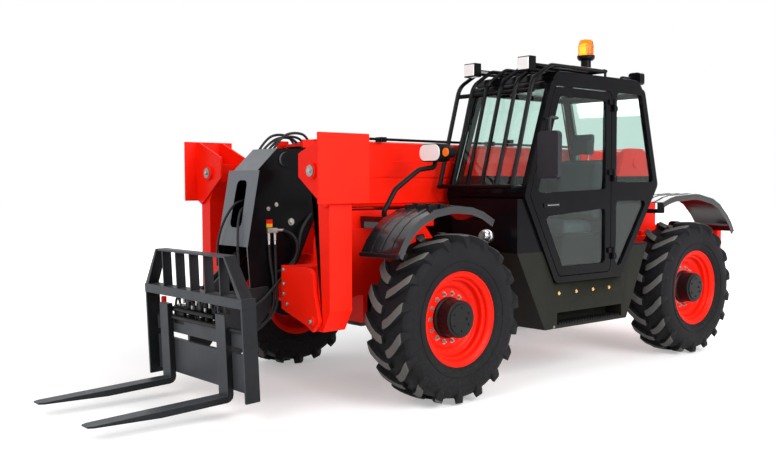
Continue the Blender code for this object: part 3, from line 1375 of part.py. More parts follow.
def cab_shell():
    outline = cab_outline()
    rear_low, rear_mid, rear_top, front_top, front_mid, front_low = outline
    shell = prism(rounded(outline, CAB_CORNER), "x", CAB_IN_X, CAB_OUT_X)
    inner = inset(outline, CAB_WALL)
    over_frame = FRAME_TOP_Z + SEAT * 2
    notch = box(CAB_IN_X - OVERRUN, BASE_IN_X, CAB_FRONT_Y - OVERRUN, CAB_FRONT_Y + CAB_LENGTH, CAB_FLOOR_Z - OVERRUN, over_frame)
    hollow = prism(inner, "x", BASE_IN_X + CAB_WALL, CAB_OUT_X - CAB_WALL)
    shelf = over_frame + CAB_WALL
    beside = [
        (along_edge(inner[0], inner[1], shelf), shelf),
        *inner[1:5],
        (along_edge(inner[5], inner[4], shelf), shelf),
    ]
    hollow_beside = prism(beside, "x", CAB_IN_X + CAB_WALL, BASE_IN_X + CAB_WALL + WELD)
    through = (CAB_OUT_X - CAB_WALL - OVERRUN, CAB_OUT_X + OVERRUN)
    cut = [notch, hollow, hollow_beside, prism(rounded(door_outline(), DOOR_CORNER), "x", *through)]
    cut += [prism(rounded(pane, PANE_CORNER), "x", *through) for pane in quarter_panes()]
    cut.append(prism(quarter_glass(), "x", through[0], CAB_OUT_X - PANE_DEEP + SEAT))
    cut.append(prism(right_pane(), "x", CAB_IN_X - OVERRUN, CAB_IN_X + CAB_WALL + OVERRUN))
    across = (CAB_IN_X + PILLAR_WIDE, CAB_OUT_X - PILLAR_WIDE)
    middle = (CAB_FRONT_Y + CAB_LENGTH) / 2 + CAB_WALL
    cut.append(box(*across, CAB_FRONT_Y - OVERRUN, middle, FRONT_GLASS_LOW_Z, FRONT_GLASS_HIGH_Z))
    cut.append(box(
        *across, middle - CAB_WALL, CAB_FRONT_Y + CAB_LENGTH + OVERRUN, REAR_GLASS_LOW_Z, FRONT_GLASS_HIGH_Z
    ))
    hinges = []
    hinge_x, hinge_y = door_hinge()
    for z in HINGE_HEIGHTS_Z:
        low = z - HINGE_LONG / 2
        hinges.append(cylinder((hinge_x, hinge_y, low), (hinge_x, hinge_y, z - THRUST), HINGE_RADIUS, 12))
        strap = (CAB_OUT_X - WELD, hinge_x, hinge_y, hinge_y + HINGE_LONG / 2)
        hinges.append(box(*strap, low + WELD, z - WELD))
    node("cab_shell", "black_paint", "machine", [shell, *hinges], cut)
    front = sloped_pane(front_mid, front_top, FRONT_GLASS_LOW_Z, FRONT_GLASS_HIGH_Z, PANE_DEEP)
    rear = sloped_pane(rear_mid, rear_top, REAR_GLASS_LOW_Z, FRONT_GLASS_HIGH_Z, -PANE_DEEP)
    node("windscreen", "green_glass", "machine", [front])
    node("glass_rear", "green_glass", "machine", [rear])
    node("glass_right", "green_glass", "machine", [side_pane(right_pane(), CAB_IN_X, -1)])
    node("glass_quarter", "green_glass", "machine", [side_pane(quarter_glass(), CAB_OUT_X, 1)])


def cab_roof():
    """A shallow cap on the shell, with rounded edges that end where the shell's own corners begin."""
    _, _, rear_top, front_top, _, _ = cab_outline()
    low = rear_top[1] + SEAT
    front, rear = front_top[0] + ROOF_LIP, rear_top[0] - ROOF_LIP
    outline = (
        (front, low),
        (rear, low),
        (rear - ROOF_SLOPE / 2, low + ROOF_THICK),
        (front + ROOF_SLOPE / 2, low + ROOF_THICK),
    )
    cap = rounded(outline, (0, 0, ROOF_THICK, ROOF_THICK))
    slab = prism(cap, "x", CAB_IN_X + ROOF_LIP / 2, CAB_OUT_X - ROOF_LIP / 2)
    node("cab_roof", "black_paint", "machine", [slab, *roof_fittings()])


def cab_door():
    body = "at_door"
    hinge = (*door_hinge(), CAB_FLOOR_Z)
    pivot(body, hinge, "machine")
    edge = rounded(inset(door_outline(), DOOR_GAP), DOOR_CORNER - DOOR_GAP)
    leaf = prism(edge, "x", CAB_OUT_X - CAB_WALL + DOOR_GAP, CAB_OUT_X)
    through = (CAB_OUT_X - CAB_WALL - OVERRUN, CAB_OUT_X + OVERRUN)
    cut = [prism(rounded(pane, PANE_CORNER), "x", *through) for pane in door_panes()]
    cut.append(prism(door_glass(), "x", through[0], CAB_OUT_X - PANE_DEEP + SEAT))
    knuckles = []
    for z in HINGE_HEIGHTS_Z:
        barrel = cylinder((*hinge[:2], z), (*hinge[:2], z + HINGE_LONG / 2), HINGE_RADIUS, 12)
        tall = (z + WELD, z + HINGE_LONG / 2 - WELD)
        front = DOOR_REAR_Y - HINGE_LONG / 2
        strap = box(CAB_OUT_X + THRUST, hinge[0], front, hinge[1], *tall)
        inside = (tall[0] + WELD / 2, tall[1] - WELD / 2)
        pad = box(CAB_OUT_X - WELD, CAB_OUT_X + WELD, front + WELD, DOOR_REAR_Y - DOOR_GAP * 2, *inside)
        knuckles += [barrel, strap, pad]
    node("cab_door", "black_paint", body, [leaf, *knuckles], cut)
    node("glass_door", "green_glass", body, [side_pane(door_glass(), CAB_OUT_X, 1)])


# Cab base: a cradle under the shell, with the step in its side
BASE_IN_X = FRAME_HALF + SEAT * 2
BASE_SHY = 0.02
BASE_OUT_X = CAB_OUT_X - BASE_SHY
BASE_FRONT_Y = 0.66
BASE_NOSE_Z = 1.04
BASE_HIGH_Z = 1.455
BASE_LOW_Z = 0.42
BASE_LOW_FRONT_Y = 0.99
BASE_LOW_REAR_Y = 2.07
BASE_TAIL_Y = 2.38
BASE_TAIL_Z = 1.06
STEP_FRONT_Y = 1.14
STEP_REAR_Y = 2.00
STEP_LOW_Z = 0.445
STEP_HIGH_Z = 0.545
STEP_DEEP = 0.16


def cab_base():
    rear_low, rear_mid, rear_top, front_top, front_mid, front_low = inset(cab_outline(), -SEAT)
    outline = (
        (BASE_FRONT_Y, BASE_HIGH_Z),
        (BASE_FRONT_Y, BASE_NOSE_Z),
        (BASE_LOW_FRONT_Y, BASE_LOW_Z),
        (BASE_LOW_REAR_Y, BASE_LOW_Z),
        (BASE_TAIL_Y, BASE_TAIL_Z),
        (along_edge(rear_low, rear_mid, BASE_TAIL_Z), BASE_TAIL_Z),
        rear_low,
        front_low,
        (along_edge(front_low, front_mid, BASE_HIGH_Z), BASE_HIGH_Z),
    )
    block = prism(outline, "x", BASE_IN_X, BASE_OUT_X)
    recess = box(
        BASE_OUT_X - STEP_DEEP, BASE_OUT_X + OVERRUN, STEP_FRONT_Y, STEP_REAR_Y, STEP_LOW_Z, STEP_HIGH_Z
    )
    node("cab_base", "skirt_paint", "machine", [block], [recess])


# Inside the cab
SEAT_X = 0.70
SEAT_FRONT_Y = 1.42
SEAT_BACK_Y = 1.92
SEAT_HALF = 0.24
SEAT_LOW_Z = 1.14
SEAT_HIGH_Z = 1.26
SEAT_BACK_TOP_Z = 1.80
SEAT_BACK_THICK = 0.11
SEAT_LEAN = 0.10
SEAT_ROUND = 0.04
REST_HALF = 0.13
REST_TOP_Z = 2.02
PEDESTAL_HALF = 0.19
WHEEL_RING_RADIUS = 0.19
WHEEL_RING_THICK = 0.014
COLUMN_RADIUS = 0.035
COLUMN_FOOT_Y = 1.19
COLUMN_HEAD_Y = 1.36
COLUMN_HEAD_Z = 1.42
DASH_HALF = 0.30
DASH_TOP_Z = 1.40
DASH_LOW_Z = 1.15
DASH_DEEP = 0.20
MAT_THICK = 0.012
POD_HALF = 0.08
POD_TALL = 0.12


def cab_inside():
    floor = CAB_FLOOR_Z + CAB_WALL + SEAT
    pedestal = box(
        SEAT_X - PEDESTAL_HALF,
        SEAT_X + PEDESTAL_HALF,
        SEAT_FRONT_Y + SEAT_ROUND,
        SEAT_BACK_Y - SEAT_ROUND,
        floor + WELD,
        SEAT_LOW_Z - SEAT,
    )
    mat_rear = CAB_FRONT_Y + CAB_LENGTH * CAB_SIDE_SHARES[0][0] - CAB_WALL
    mat_in = BASE_IN_X + CAB_WALL + SEAT
    mat = box(mat_in, SEAT_X + DASH_HALF, COLUMN_FOOT_Y, mat_rear, floor, floor + MAT_THICK)
    lean = SEAT_LEAN
    cushion = rounded(
        (
            (SEAT_FRONT_Y, SEAT_LOW_Z),
            (SEAT_BACK_Y, SEAT_LOW_Z),
            (SEAT_BACK_Y + lean, SEAT_BACK_TOP_Z),
            (SEAT_BACK_Y + lean - SEAT_BACK_THICK, SEAT_BACK_TOP_Z),
            (SEAT_BACK_Y - SEAT_BACK_THICK, SEAT_HIGH_Z),
            (SEAT_FRONT_Y, SEAT_HIGH_Z),
        ),
        (SEAT_ROUND, 0, SEAT_ROUND, SEAT_ROUND, 0, SEAT_ROUND),
    )
    rest_y = SEAT_BACK_Y + lean
    rest = box(
        SEAT_X - REST_HALF,
        SEAT_X + REST_HALF,
        rest_y - SEAT_BACK_THICK + SEAT_ROUND / 2,
        rest_y - SEAT_ROUND / 4,
        SEAT_BACK_TOP_Z - SEAT_ROUND,
        REST_TOP_Z,
    )
    node("seat", "seat_cloth", "machine", [prism(cushion, "x", SEAT_X - SEAT_HALF, SEAT_X + SEAT_HALF), rest])
    foot = Vector((SEAT_X, COLUMN_FOOT_Y, floor))
    top = Vector((SEAT_X, COLUMN_HEAD_Y, COLUMN_HEAD_Z))
    ring = [
        (
            WHEEL_RING_RADIUS + WHEEL_RING_THICK * math.cos(math.tau * index / 6),
            WHEEL_RING_THICK * math.sin(math.tau * index / 6),
        )
        for index in range(6)
    ]
    way = (top - foot).normalized()
    hoop = lathe(ring, (0, 0, 0), HUB_STEPS)
    hoop.transform(Matrix.Translation(top) @ way.to_track_quat("X", "Z").to_matrix().to_4x4())
    spokes = []
    side = Vector((1, 0, 0))
    fore = way.cross(side)
    for angle in (0, 120, 240):
        out = side * math.cos(math.radians(angle)) + fore * math.sin(math.radians(angle))
        spokes.append(cylinder(top, top + out * WHEEL_RING_RADIUS, WHEEL_RING_THICK / 2, 6))
    column = cylinder(foot, top + way * WHEEL_RING_THICK, COLUMN_RADIUS, 12)
    trim = box(
        SEAT_X - COLUMN_RADIUS * 2,
        SEAT_X + COLUMN_RADIUS * 2,
        COLUMN_FOOT_Y - COLUMN_RADIUS * 2,
        COLUMN_FOOT_Y + COLUMN_RADIUS * 2,
        floor - OVERRUN,
        floor,
    )
    rear_low, rear_mid, rear_top, front_top, front_mid, front_low = inset(cab_outline(), CAB_WALL + SEAT)
    dash = (
        (along_edge(front_low, front_mid, DASH_LOW_Z), DASH_LOW_Z),
        (along_edge(front_low, front_mid, DASH_TOP_Z), DASH_TOP_Z),
        (along_edge(front_low, front_mid, DASH_TOP_Z) + DASH_DEEP, DASH_TOP_Z + SEAT_ROUND),
        (along_edge(front_low, front_mid, DASH_LOW_Z) + DASH_DEEP / 4, DASH_LOW_Z),
    )
    panel = prism(dash, "x", SEAT_X - DASH_HALF, SEAT_X + DASH_HALF)
    pod_high = DASH_LOW_Z + POD_TALL
    pod_rear = COLUMN_FOOT_Y + (COLUMN_HEAD_Y - COLUMN_FOOT_Y) * (pod_high - floor) / (COLUMN_HEAD_Z - floor)
    pod = box(
        SEAT_X - POD_HALF, SEAT_X + POD_HALF, dash[0][0] + SEAT_ROUND / 2, pod_rear, DASH_LOW_Z + WELD, pod_high
    )
    node("cab_interior", "plastic", "machine", [mat, pedestal, panel, pod, column, hoop, *spokes], [trim])


# Guard of round bars before the windscreen and over the roof, with its lamps
GUARD_RADIUS = 0.013
GUARD_FOOT_Y = 0.61
GUARD_FOOT_SHARE = 0.478
GUARD_REAR_SHARE = 0.579
GUARD_BROW_DROP = 0.015
GUARD_OVER_ROOF = 0.115
GUARD_FOOT_Z = CAB_FLOOR_Z + CAB_HEIGHT * GUARD_FOOT_SHARE
GUARD_BROW_Y = 0.84
GUARD_BROW_Z = CAB_FLOOR_Z + CAB_HEIGHT - GUARD_BROW_DROP
GUARD_ROOF_Z = CAB_FLOOR_Z + CAB_HEIGHT + GUARD_OVER_ROOF
GUARD_ROOF_FRONT_Y = 1.06
GUARD_ROOF_REAR_Y = CAB_FRONT_Y + CAB_LENGTH * GUARD_REAR_SHARE
GUARD_BEND = 0.16
GUARD_LINES = 6
LAMP_HALF = 0.062
LAMP_DEEP = 0.07
LAMP_TALL = 0.11
LAMP_LEFT_X = 1.00
LAMP_RIGHT_X = 0.42
BEACON_X = 0.70
BEACON_SHARE = 0.725
BEACON_STAND = 0.295
BEACON_TALL = 0.16
BEACON_Y = CAB_FRONT_Y + CAB_LENGTH * BEACON_SHARE
BEACON_RADIUS = 0.066
BEACON_BASE_Z = CAB_FLOOR_Z + CAB_HEIGHT + BEACON_STAND
BEACON_POST_RADIUS = 0.045
REAR_LAMP_X = 0.93
REAR_LAMP_SHARE = 0.983
REAR_STEM_SHARE = 0.826
REAR_LAMP_Y = CAB_FRONT_Y + CAB_LENGTH * REAR_LAMP_SHARE
REAR_STEM_Y = CAB_FRONT_Y + CAB_LENGTH * REAR_STEM_SHARE
REAR_LAMP_UP = 0.06


def cab_guard():
    low_x, high_x = CAB_IN_X + GUARD_RADIUS * 2, CAB_OUT_X - GUARD_RADIUS * 2
    lines = []
    for index in range(GUARD_LINES):
        x = low_x + (high_x - low_x) * index / (GUARD_LINES - 1)
        run = rounded(
            (
                (x, GUARD_FOOT_Y, GUARD_FOOT_Z),
                (x, GUARD_BROW_Y, GUARD_BROW_Z),
                (x, GUARD_ROOF_FRONT_Y, GUARD_ROOF_Z),
                (x, GUARD_ROOF_REAR_Y, GUARD_ROOF_Z),
            ),
            GUARD_BEND,
            3,
            closed=False,
        )
        lines.append(bar(run, GUARD_RADIUS, 1))
    rails = []
    for y, z in (
        (GUARD_FOOT_Y, GUARD_FOOT_Z),
        (GUARD_BROW_Y - GUARD_RADIUS / 2, GUARD_BROW_Z - GUARD_BEND / 2),
        (GUARD_ROOF_REAR_Y, GUARD_ROOF_Z),
    ):
        rails.append(
            bar(((low_x - GUARD_RADIUS, y, z), (high_x + GUARD_RADIUS, y, z)), GUARD_RADIUS + WELD / 4, 1)
        )
    roof = CAB_FLOOR_Z + CAB_HEIGHT + ROOF_THICK + SEAT * 2
    stays = []
    for x in (low_x, high_x):
        stays.append(
            cylinder((x, GUARD_ROOF_REAR_Y, roof), (x, GUARD_ROOF_REAR_Y, GUARD_ROOF_Z), GUARD_RADIUS * EYE_SHARE, SMALL_SIDES)
        )
    cab = cab_outline()
    front_top, front_mid = cab[3], cab[4]
    for x in (CAB_IN_X + PILLAR_WIDE / 2, CAB_OUT_X - PILLAR_WIDE / 2):
        near = along_edge(front_mid, front_top, GUARD_FOOT_Z - GUARD_RADIUS) - SEAT * 2
        stays.append(cylinder(
            (x, near, GUARD_FOOT_Z), (x, GUARD_FOOT_Y, GUARD_FOOT_Z), GUARD_RADIUS * TANG_SHARE, SMALL_SIDES
        ))
    node("cab_guard", "black_paint", "machine", [*lines, *rails, *stays, *work_lamps()])


def work_lamps():
    """Two lamps at the guard's brow. A plate behind each is welded to the bars."""
    made = []
    behind = GUARD_BROW_Y + LAMP_DEEP
    half_plate = GUARD_RADIUS / 4
    for x in (LAMP_LEFT_X, LAMP_RIGHT_X):
        across = (x - LAMP_HALF, x + LAMP_HALF)
        made.append(
            box(*across, GUARD_BROW_Y, behind, GUARD_ROOF_Z - LAMP_TALL / 2, GUARD_ROOF_Z + LAMP_TALL / 2)
        )
        inside = (across[0] + WELD / 4, across[1] - WELD / 4)
        made.append(
            box(
                *inside,
                behind - WELD,
                GUARD_ROOF_FRONT_Y + GUARD_BEND,
                GUARD_ROOF_Z - half_plate,
                GUARD_ROOF_Z + half_plate,
            )
        )
    return made


def beacon():
    dome = (
        (0, 0),
        (BEACON_RADIUS, 0),
        (BEACON_RADIUS, BEACON_TALL - BEACON_RADIUS / 2),
        (BEACON_RADIUS * TANG_SHARE, BEACON_TALL - BEACON_RADIUS / 4),
        (BEACON_RADIUS / 2, BEACON_TALL - SEAT),
        (0, BEACON_TALL - SEAT),
    )
    cap = lathe(dome, (0, 0, 0), HUB_STEPS)
    stand = Matrix.Translation(
        (BEACON_X, BEACON_Y, BEACON_BASE_Z + SEAT)
    ) @ Matrix.Rotation(-math.pi / 2, 4, "Y")
    cap.transform(stand)
    node("beacon", "amber_lens", "machine", [cap], smooth=True)


def roof_fittings():
    """The beacon's post and a lamp that looks rearwards, both on the roof."""
    roof = CAB_FLOOR_Z + CAB_HEIGHT + ROOF_THICK - WELD
    post = cylinder((BEACON_X, BEACON_Y, roof), (BEACON_X, BEACON_Y, BEACON_BASE_Z), BEACON_POST_RADIUS)
    low = CAB_FLOOR_Z + CAB_HEIGHT + REAR_LAMP_UP
    face = (
        (REAR_LAMP_X - LAMP_HALF, low),
        (REAR_LAMP_X + LAMP_HALF, low),
        (REAR_LAMP_X + LAMP_HALF, low + LAMP_TALL),
        (REAR_LAMP_X - LAMP_HALF, low + LAMP_TALL),
    )
    rear = prism(rounded(face, LAMP_TALL / 4), "y", REAR_LAMP_Y - LAMP_DEEP, REAR_LAMP_Y)
    run = rounded(
        (
            (REAR_LAMP_X, REAR_STEM_Y, roof),
            (REAR_LAMP_X, REAR_STEM_Y, low + LAMP_TALL / 2),
            (REAR_LAMP_X, REAR_LAMP_Y - LAMP_DEEP / 2, low + LAMP_TALL / 2),
        ),
        GUARD_RADIUS * 3,
        closed=False,
    )
    return [post, rear, bar(run, GUARD_RADIUS)]


# Mirrors and headlamps
MIRROR_OUT_X = 1.40
MIRROR_WIDE = 0.20
MIRROR_DEEP = 0.05
MIRROR_LOW_Z = 1.61
MIRROR_HIGH_Z = 1.965
MIRROR_Y = 0.79
MIRROR_ARM_RADIUS = 0.012
MIRROR_ARM_Z = 2.07
MIRROR_ROOT_Z = 1.10
MIRROR_ROOT_SHARE = 0.93
MIRROR_FORWARD = 0.09
HEADLAMP_X = 0.59
HEADLAMP_Y = 0.29
HEADLAMP_Z = 1.81
HEADLAMP_WIDE = 0.235
HEADLAMP_TALL = 0.14
HEADLAMP_DEEP = 0.11
HEADLAMP_ARM_RADIUS = 0.020
HEADLAMP_FOOT_Y = -0.23
HEADLAMP_ELBOW = (-0.12, 1.53)
HEADLAMP_KNEE = (0.12, 1.68)
HEADLAMP_STEM_Z = 1.70
INDICATOR_OFF = 0.155
INDICATOR_RADIUS = 0.042
INDICATOR_DEEP = 0.07


def mirror(name, side):
    """A mirror's shell on a bent arm. The left arm leaves the cab's pillar, the right one the engine cover."""
    middle_x = side * (MIRROR_OUT_X - MIRROR_WIDE / 2)
    across = sorted((side * (MIRROR_OUT_X - MIRROR_WIDE), side * MIRROR_OUT_X))
    face = rounded(
        (
            (across[0], MIRROR_LOW_Z),
            (across[1], MIRROR_LOW_Z),
            (across[1], MIRROR_HIGH_Z),
            (across[0], MIRROR_HIGH_Z),
        ),
        MIRROR_WIDE / 6,
    )
    shell = prism(face, "y", MIRROR_Y - MIRROR_DEEP / 2, MIRROR_Y + MIRROR_DEEP / 2)
    cab = cab_outline()
    if side > 0:
        pillar_y = along_edge(cab[4], cab[3], MIRROR_ARM_Z)
        root = (CAB_OUT_X + SEAT * 2, pillar_y + PILLAR_WIDE / 2, MIRROR_ARM_Z)
    elbow = (middle_x, MIRROR_Y, MIRROR_ARM_Z)
    if side > 0:
        run = (root, (middle_x - MIRROR_WIDE / 4, *root[1:]), elbow, (middle_x, MIRROR_Y, MIRROR_HIGH_Z - MIRROR_DEEP))
    else:
        root_x = MIRROR_ROOT_SHARE * -COVER_OUT_X
        forward = COVER_FRONT_Y - MIRROR_FORWARD
        run = (
            (root_x, COVER_FRONT_Y - SEAT, MIRROR_ROOT_Z),
            (root_x, forward, MIRROR_ROOT_Z),
            (-COVER_OUT_X, forward, MIRROR_LOW_Z - MIRROR_WIDE / 2),
            (middle_x, MIRROR_Y, MIRROR_LOW_Z + MIRROR_DEEP),
        )
    arm = bar(rounded(run, MIRROR_ARM_RADIUS * 3, 3, closed=False), MIRROR_ARM_RADIUS, 1)
    node(f"mirror_{name}", "plastic", "machine", [shell, arm])


def headlamp(name, side):
    x = side * HEADLAMP_X
    oval = rounded(
        (
            (x - HEADLAMP_WIDE / 2, HEADLAMP_Z - HEADLAMP_TALL / 2),
            (x + HEADLAMP_WIDE / 2, HEADLAMP_Z - HEADLAMP_TALL / 2),
            (x + HEADLAMP_WIDE / 2, HEADLAMP_Z + HEADLAMP_TALL / 2),
            (x - HEADLAMP_WIDE / 2, HEADLAMP_Z + HEADLAMP_TALL / 2),
        ),
        HEADLAMP_TALL / 3,
    )
    bowl = prism(oval, "y", HEADLAMP_Y - HEADLAMP_DEEP / 2, HEADLAMP_Y + HEADLAMP_DEEP / 2)
    run = rounded(
        (
            (x, HEADLAMP_FOOT_Y, ARM_HIGH_Z + SEAT),
            (x, HEADLAMP_FOOT_Y, ARM_HIGH_Z + HEADLAMP_ARM_RADIUS * 2),
            (x, *HEADLAMP_ELBOW),
            (x, *HEADLAMP_KNEE),
            (x, HEADLAMP_Y, HEADLAMP_STEM_Z),
            (x, HEADLAMP_Y, HEADLAMP_Z),
        ),
        (0, HEADLAMP_ARM_RADIUS, HEADLAMP_DEEP, HEADLAMP_DEEP, HEADLAMP_ARM_RADIUS * 2, 0),
        closed=False,
    )
    out = x + side * INDICATOR_OFF
    front, behind = HEADLAMP_Y - INDICATOR_DEEP / 2, HEADLAMP_Y + INDICATOR_DEEP / 2
    add = [
        bowl,
        bar(run, HEADLAMP_ARM_RADIUS),
        cylinder((out, front, HEADLAMP_Z), (out, behind, HEADLAMP_Z), INDICATOR_RADIUS),
        cylinder((x, HEADLAMP_Y, HEADLAMP_Z), (out, HEADLAMP_Y, HEADLAMP_Z), HEADLAMP_ARM_RADIUS, SMALL_SIDES),
    ]
    node(f"headlamp_{name}", "plastic", "machine", add)


# Mudguards: a bent sheet over each wheel, on an arm from the frame
SHEET = 0.008
MUDGUARD_IN_X = 0.78
MUDGUARD_OUT_X = 1.17
MUDGUARD_LIP = 0.045
FRONT_GUARD_SHARES = ((-0.60, 0.48), (-0.52, 0.62), (-0.34, 0.76), (-0.08, 0.80), (0.16, 0.78), (0.33, 0.69))
REAR_GUARD_SHARES = ((-0.56, 0.79), (-0.40, 0.84), (0.0, 0.86), (0.34, 0.80), (0.58, 0.62), (0.66, 0.50))
ARM_HALF = 0.03
ARM_LOW_Z = 1.29
ARM_HIGH_Z = 1.33
GUARD_ARC = 0.30
FRONT_ARM_FRONT_Y = -0.27
RIBS = 3
RIB_WIDE = 0.022
RIB_TALL = 0.006


def mudguard(name, side, y, rear):
    """A bent sheet with a lip along its outer edge, ribs along its back and an arm to the frame."""
    table = FRONT_GUARD_SHARES if rear > 0 else REAR_GUARD_SHARES
    run = rounded([(y + a, TYRE_RADIUS + b) for a, b in table], GUARD_ARC, 1, closed=False)
    centre = Vector((y, TYRE_RADIUS))

    def moved(distance):
        return [tuple(Vector(point) + (Vector(point) - centre).normalized() * distance) for point in run]

    def strip(low, high, x_low, x_high):
        return prism([*moved(low), *reversed(moved(high))], "x", side * x_low, side * x_high)

    top = along_line(run, y)
    frame_top = FRAME_SHOULDER_Z if rear > 0 else FRAME_TOP_Z
    arm_front = FRONT_ARM_FRONT_Y if rear > 0 else y - ARM_HALF
    arm_x = sorted((side * (FRAME_HALF - FRAME_PLATE), side * (MUDGUARD_IN_X + OVERRUN)))
    strut_x = sorted((side * (FRAME_HALF - FRAME_PLATE), side * FRAME_HALF))
    inner_x = sorted((side * (MUDGUARD_IN_X + WELD), side * (MUDGUARD_IN_X + SHEET)))
    add = [
        strip(0, SHEET, MUDGUARD_IN_X, MUDGUARD_OUT_X),
        strip(-MUDGUARD_LIP, SHEET / 2, MUDGUARD_OUT_X - SHEET, MUDGUARD_OUT_X - WELD / 4),
        box(*arm_x, arm_front, y + ARM_HALF, ARM_LOW_Z, ARM_HIGH_Z),
        box(*strut_x, arm_front + WELD, y + ARM_HALF - WELD, frame_top + SEAT, ARM_HIGH_Z - WELD),
        box(*inner_x, y - ARM_HALF * 2, y + ARM_HALF * 2, ARM_LOW_Z + WELD, top + SHEET / 2),
    ]
    pitch = (MUDGUARD_OUT_X - MUDGUARD_IN_X) / (RIBS + 1)
    for index in range(RIBS):
        x = MUDGUARD_IN_X + pitch * (index + 1)
        add.append(strip(SHEET / 2, SHEET + RIB_TALL, x - RIB_WIDE / 2, x + RIB_WIDE / 2))
    node(f"mudguard_{name}", "plastic", "machine", add)


def along_line(line, y):
    """The height of a run of points at y."""
    for (y_near, z_near), (y_far, z_far) in zip(line, line[1:]):
        if y_near <= y <= y_far:
            return z_near + (z_far - z_near) * (y - y_near) / (y_far - y_near)
    return line[-1][1]


# Right side: engine, its cover and hood, the tank and the exhaust
COVER_IN_X = FRAME_HALF + SEAT * 2
COVER_OUT_X = 1.10
COVER_FRONT_Y = 0.76
COVER_REAR_Y = 2.42
COVER_LOW_Z = 0.72
COVER_HIGH_Z = 1.46
COVER_TOE_Y = 2.30
COVER_TOE_Z = 0.98
COVER_WALL = 0.03
COVER_SPLIT_Z = 1.18
LOUVRE_TALL = 0.022
LOUVRE_PITCH = 0.045
LOUVRES = 7
LOUVRE_FRONT_Y = 0.95
LOUVRE_REAR_Y = 1.45
TANK_LOW_Z = 0.44
TANK_FRONT_Y = 0.80
TANK_REAR_Y = 2.26
TANK_OUT_X = 1.05
TANK_ROUND = 0.06
ENGINE_FRONT_Y = 0.98
ENGINE_REAR_Y = 1.98
ENGINE_OUT_X = 0.95
ENGINE_HIGH_Z = 1.33
STACK_RADIUS = 0.04
STACK_X = 0.60
STACK_LOW_Z = 0.96
STACK_TOP_Z = 2.02
STACK_CUT = 0.05


def engine_side():
    out, inside = -COVER_OUT_X, -COVER_IN_X
    side = (
        (COVER_FRONT_Y, COVER_LOW_Z),
        (COVER_TOE_Y, COVER_LOW_Z),
        (COVER_REAR_Y, COVER_TOE_Z),
        (COVER_REAR_Y, COVER_SPLIT_Z),
        (COVER_FRONT_Y, COVER_SPLIT_Z),
    )
    lower = prism(side, "x", out, inside)
    *floor, rear_rim, front_rim = inset(side, COVER_WALL)
    above = COVER_SPLIT_Z + OVERRUN
    room = prism((*floor, (rear_rim[0], above), (front_rim[0], above)), "x", out + COVER_WALL, inside + OVERRUN)
    slits = []
    for index in range(LOUVRES):
        z = COVER_LOW_Z + COVER_WALL * 2 + index * LOUVRE_PITCH
        slits.append(
            box(out - OVERRUN, out + COVER_WALL + WELD, LOUVRE_FRONT_Y, LOUVRE_REAR_Y, z, z + LOUVRE_TALL)
        )
    pipe, bracket, bore = exhaust()
    node("engine_cover", "black_paint", "machine", [lower, pipe, bracket], [room, *slits, bore])
    block = box(
        -ENGINE_OUT_X, inside, ENGINE_FRONT_Y, ENGINE_REAR_Y, COVER_LOW_Z + COVER_WALL + SEAT, ENGINE_HIGH_Z
    )
    node("engine_block", "frame_paint", "machine", [block])
    hood_body = "at_hood"
    pivot(hood_body, (inside, COVER_FRONT_Y, COVER_HIGH_Z), "machine")
    low = COVER_SPLIT_Z + SEAT
    shoulder = COVER_HIGH_Z - COVER_WALL * 3
    outline = ((inside, low), (inside, COVER_HIGH_Z), (out + COVER_WALL * 6, COVER_HIGH_Z), (out, shoulder), (out, low))
    hood = prism(outline, "y", COVER_FRONT_Y, COVER_REAR_Y)
    open_side = (
        (out + COVER_WALL, low - OVERRUN),
        (inside + OVERRUN, low - OVERRUN),
        (inside + OVERRUN, COVER_HIGH_Z - COVER_WALL),
    )
    room = [*inset(outline, COVER_WALL)[1:4], *open_side]
    under = prism(room, "y", COVER_FRONT_Y + COVER_WALL, COVER_REAR_Y - COVER_WALL)
    node("engine_hood", "black_paint", hood_body, [hood], [under])
    tank = rounded(
        (
            (-TANK_OUT_X, TANK_LOW_Z),
            (inside, TANK_LOW_Z),
            (inside, COVER_LOW_Z - SEAT),
            (-TANK_OUT_X, COVER_LOW_Z - SEAT),
        ),
        (TANK_ROUND, TANK_ROUND / 2, 0, 0),
    )
    node("fuel_tank", "skirt_paint", "machine", [prism(tank, "y", TANK_FRONT_Y, TANK_REAR_Y)])


def exhaust():
    """A stack behind the engine cover, its bracket, and the cutter that opens its top."""
    y = COVER_REAR_Y + STACK_RADIUS + CLEAR * 2
    x = -STACK_X
    pipe = cylinder((x, y, STACK_LOW_Z), (x, y, STACK_TOP_Z), STACK_RADIUS, HUB_STEPS)
    inside = STACK_RADIUS - BOOM_WALL / 2
    bore = cylinder((x, y, STACK_TOP_Z - STACK_CUT), (x, y, STACK_TOP_Z + OVERRUN), inside, HUB_STEPS)
    half = STACK_RADIUS / 2
    bracket = box(x - half, x + half, COVER_REAR_Y - WELD, y, STACK_LOW_Z + half * 2, COVER_SPLIT_Z - half)
    return pipe, bracket, bore


def main():
    middle = (REAR_END_Y + fork_tip()) / 2
    machine = pivot("machine", (0, 0, 0))
    machine.location = (0, -middle, 0)
    for corner in CORNERS:
        knuckle(*corner)
        wheel(*corner)
        mudguard(*corner)
    axle("front", 0, 1)
    axle("rear", WHEELBASE, -1)
    chassis_frame()
    front_frame()
    stabiliser("left", 1)
    stabiliser("right", -1)
    boom_tower()
    tail()
    boom()
    head()
    rams()
    fork_carriage()
    cab_shell()
    cab_roof()
    cab_door()
    cab_base()
    cab_inside()
    cab_guard()
    beacon()
    engine_side()
    mirror("left", 1)
    mirror("right", -1)
    headlamp("left", 1)
    headlamp("right", -1)


main()
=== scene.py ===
"""The telehandler's looks: camera, light, floor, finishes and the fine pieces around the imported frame."""

import math

import bmesh
import bpy
from mathutils import Matrix, Vector
from mathutils.bvhtree import BVHTree


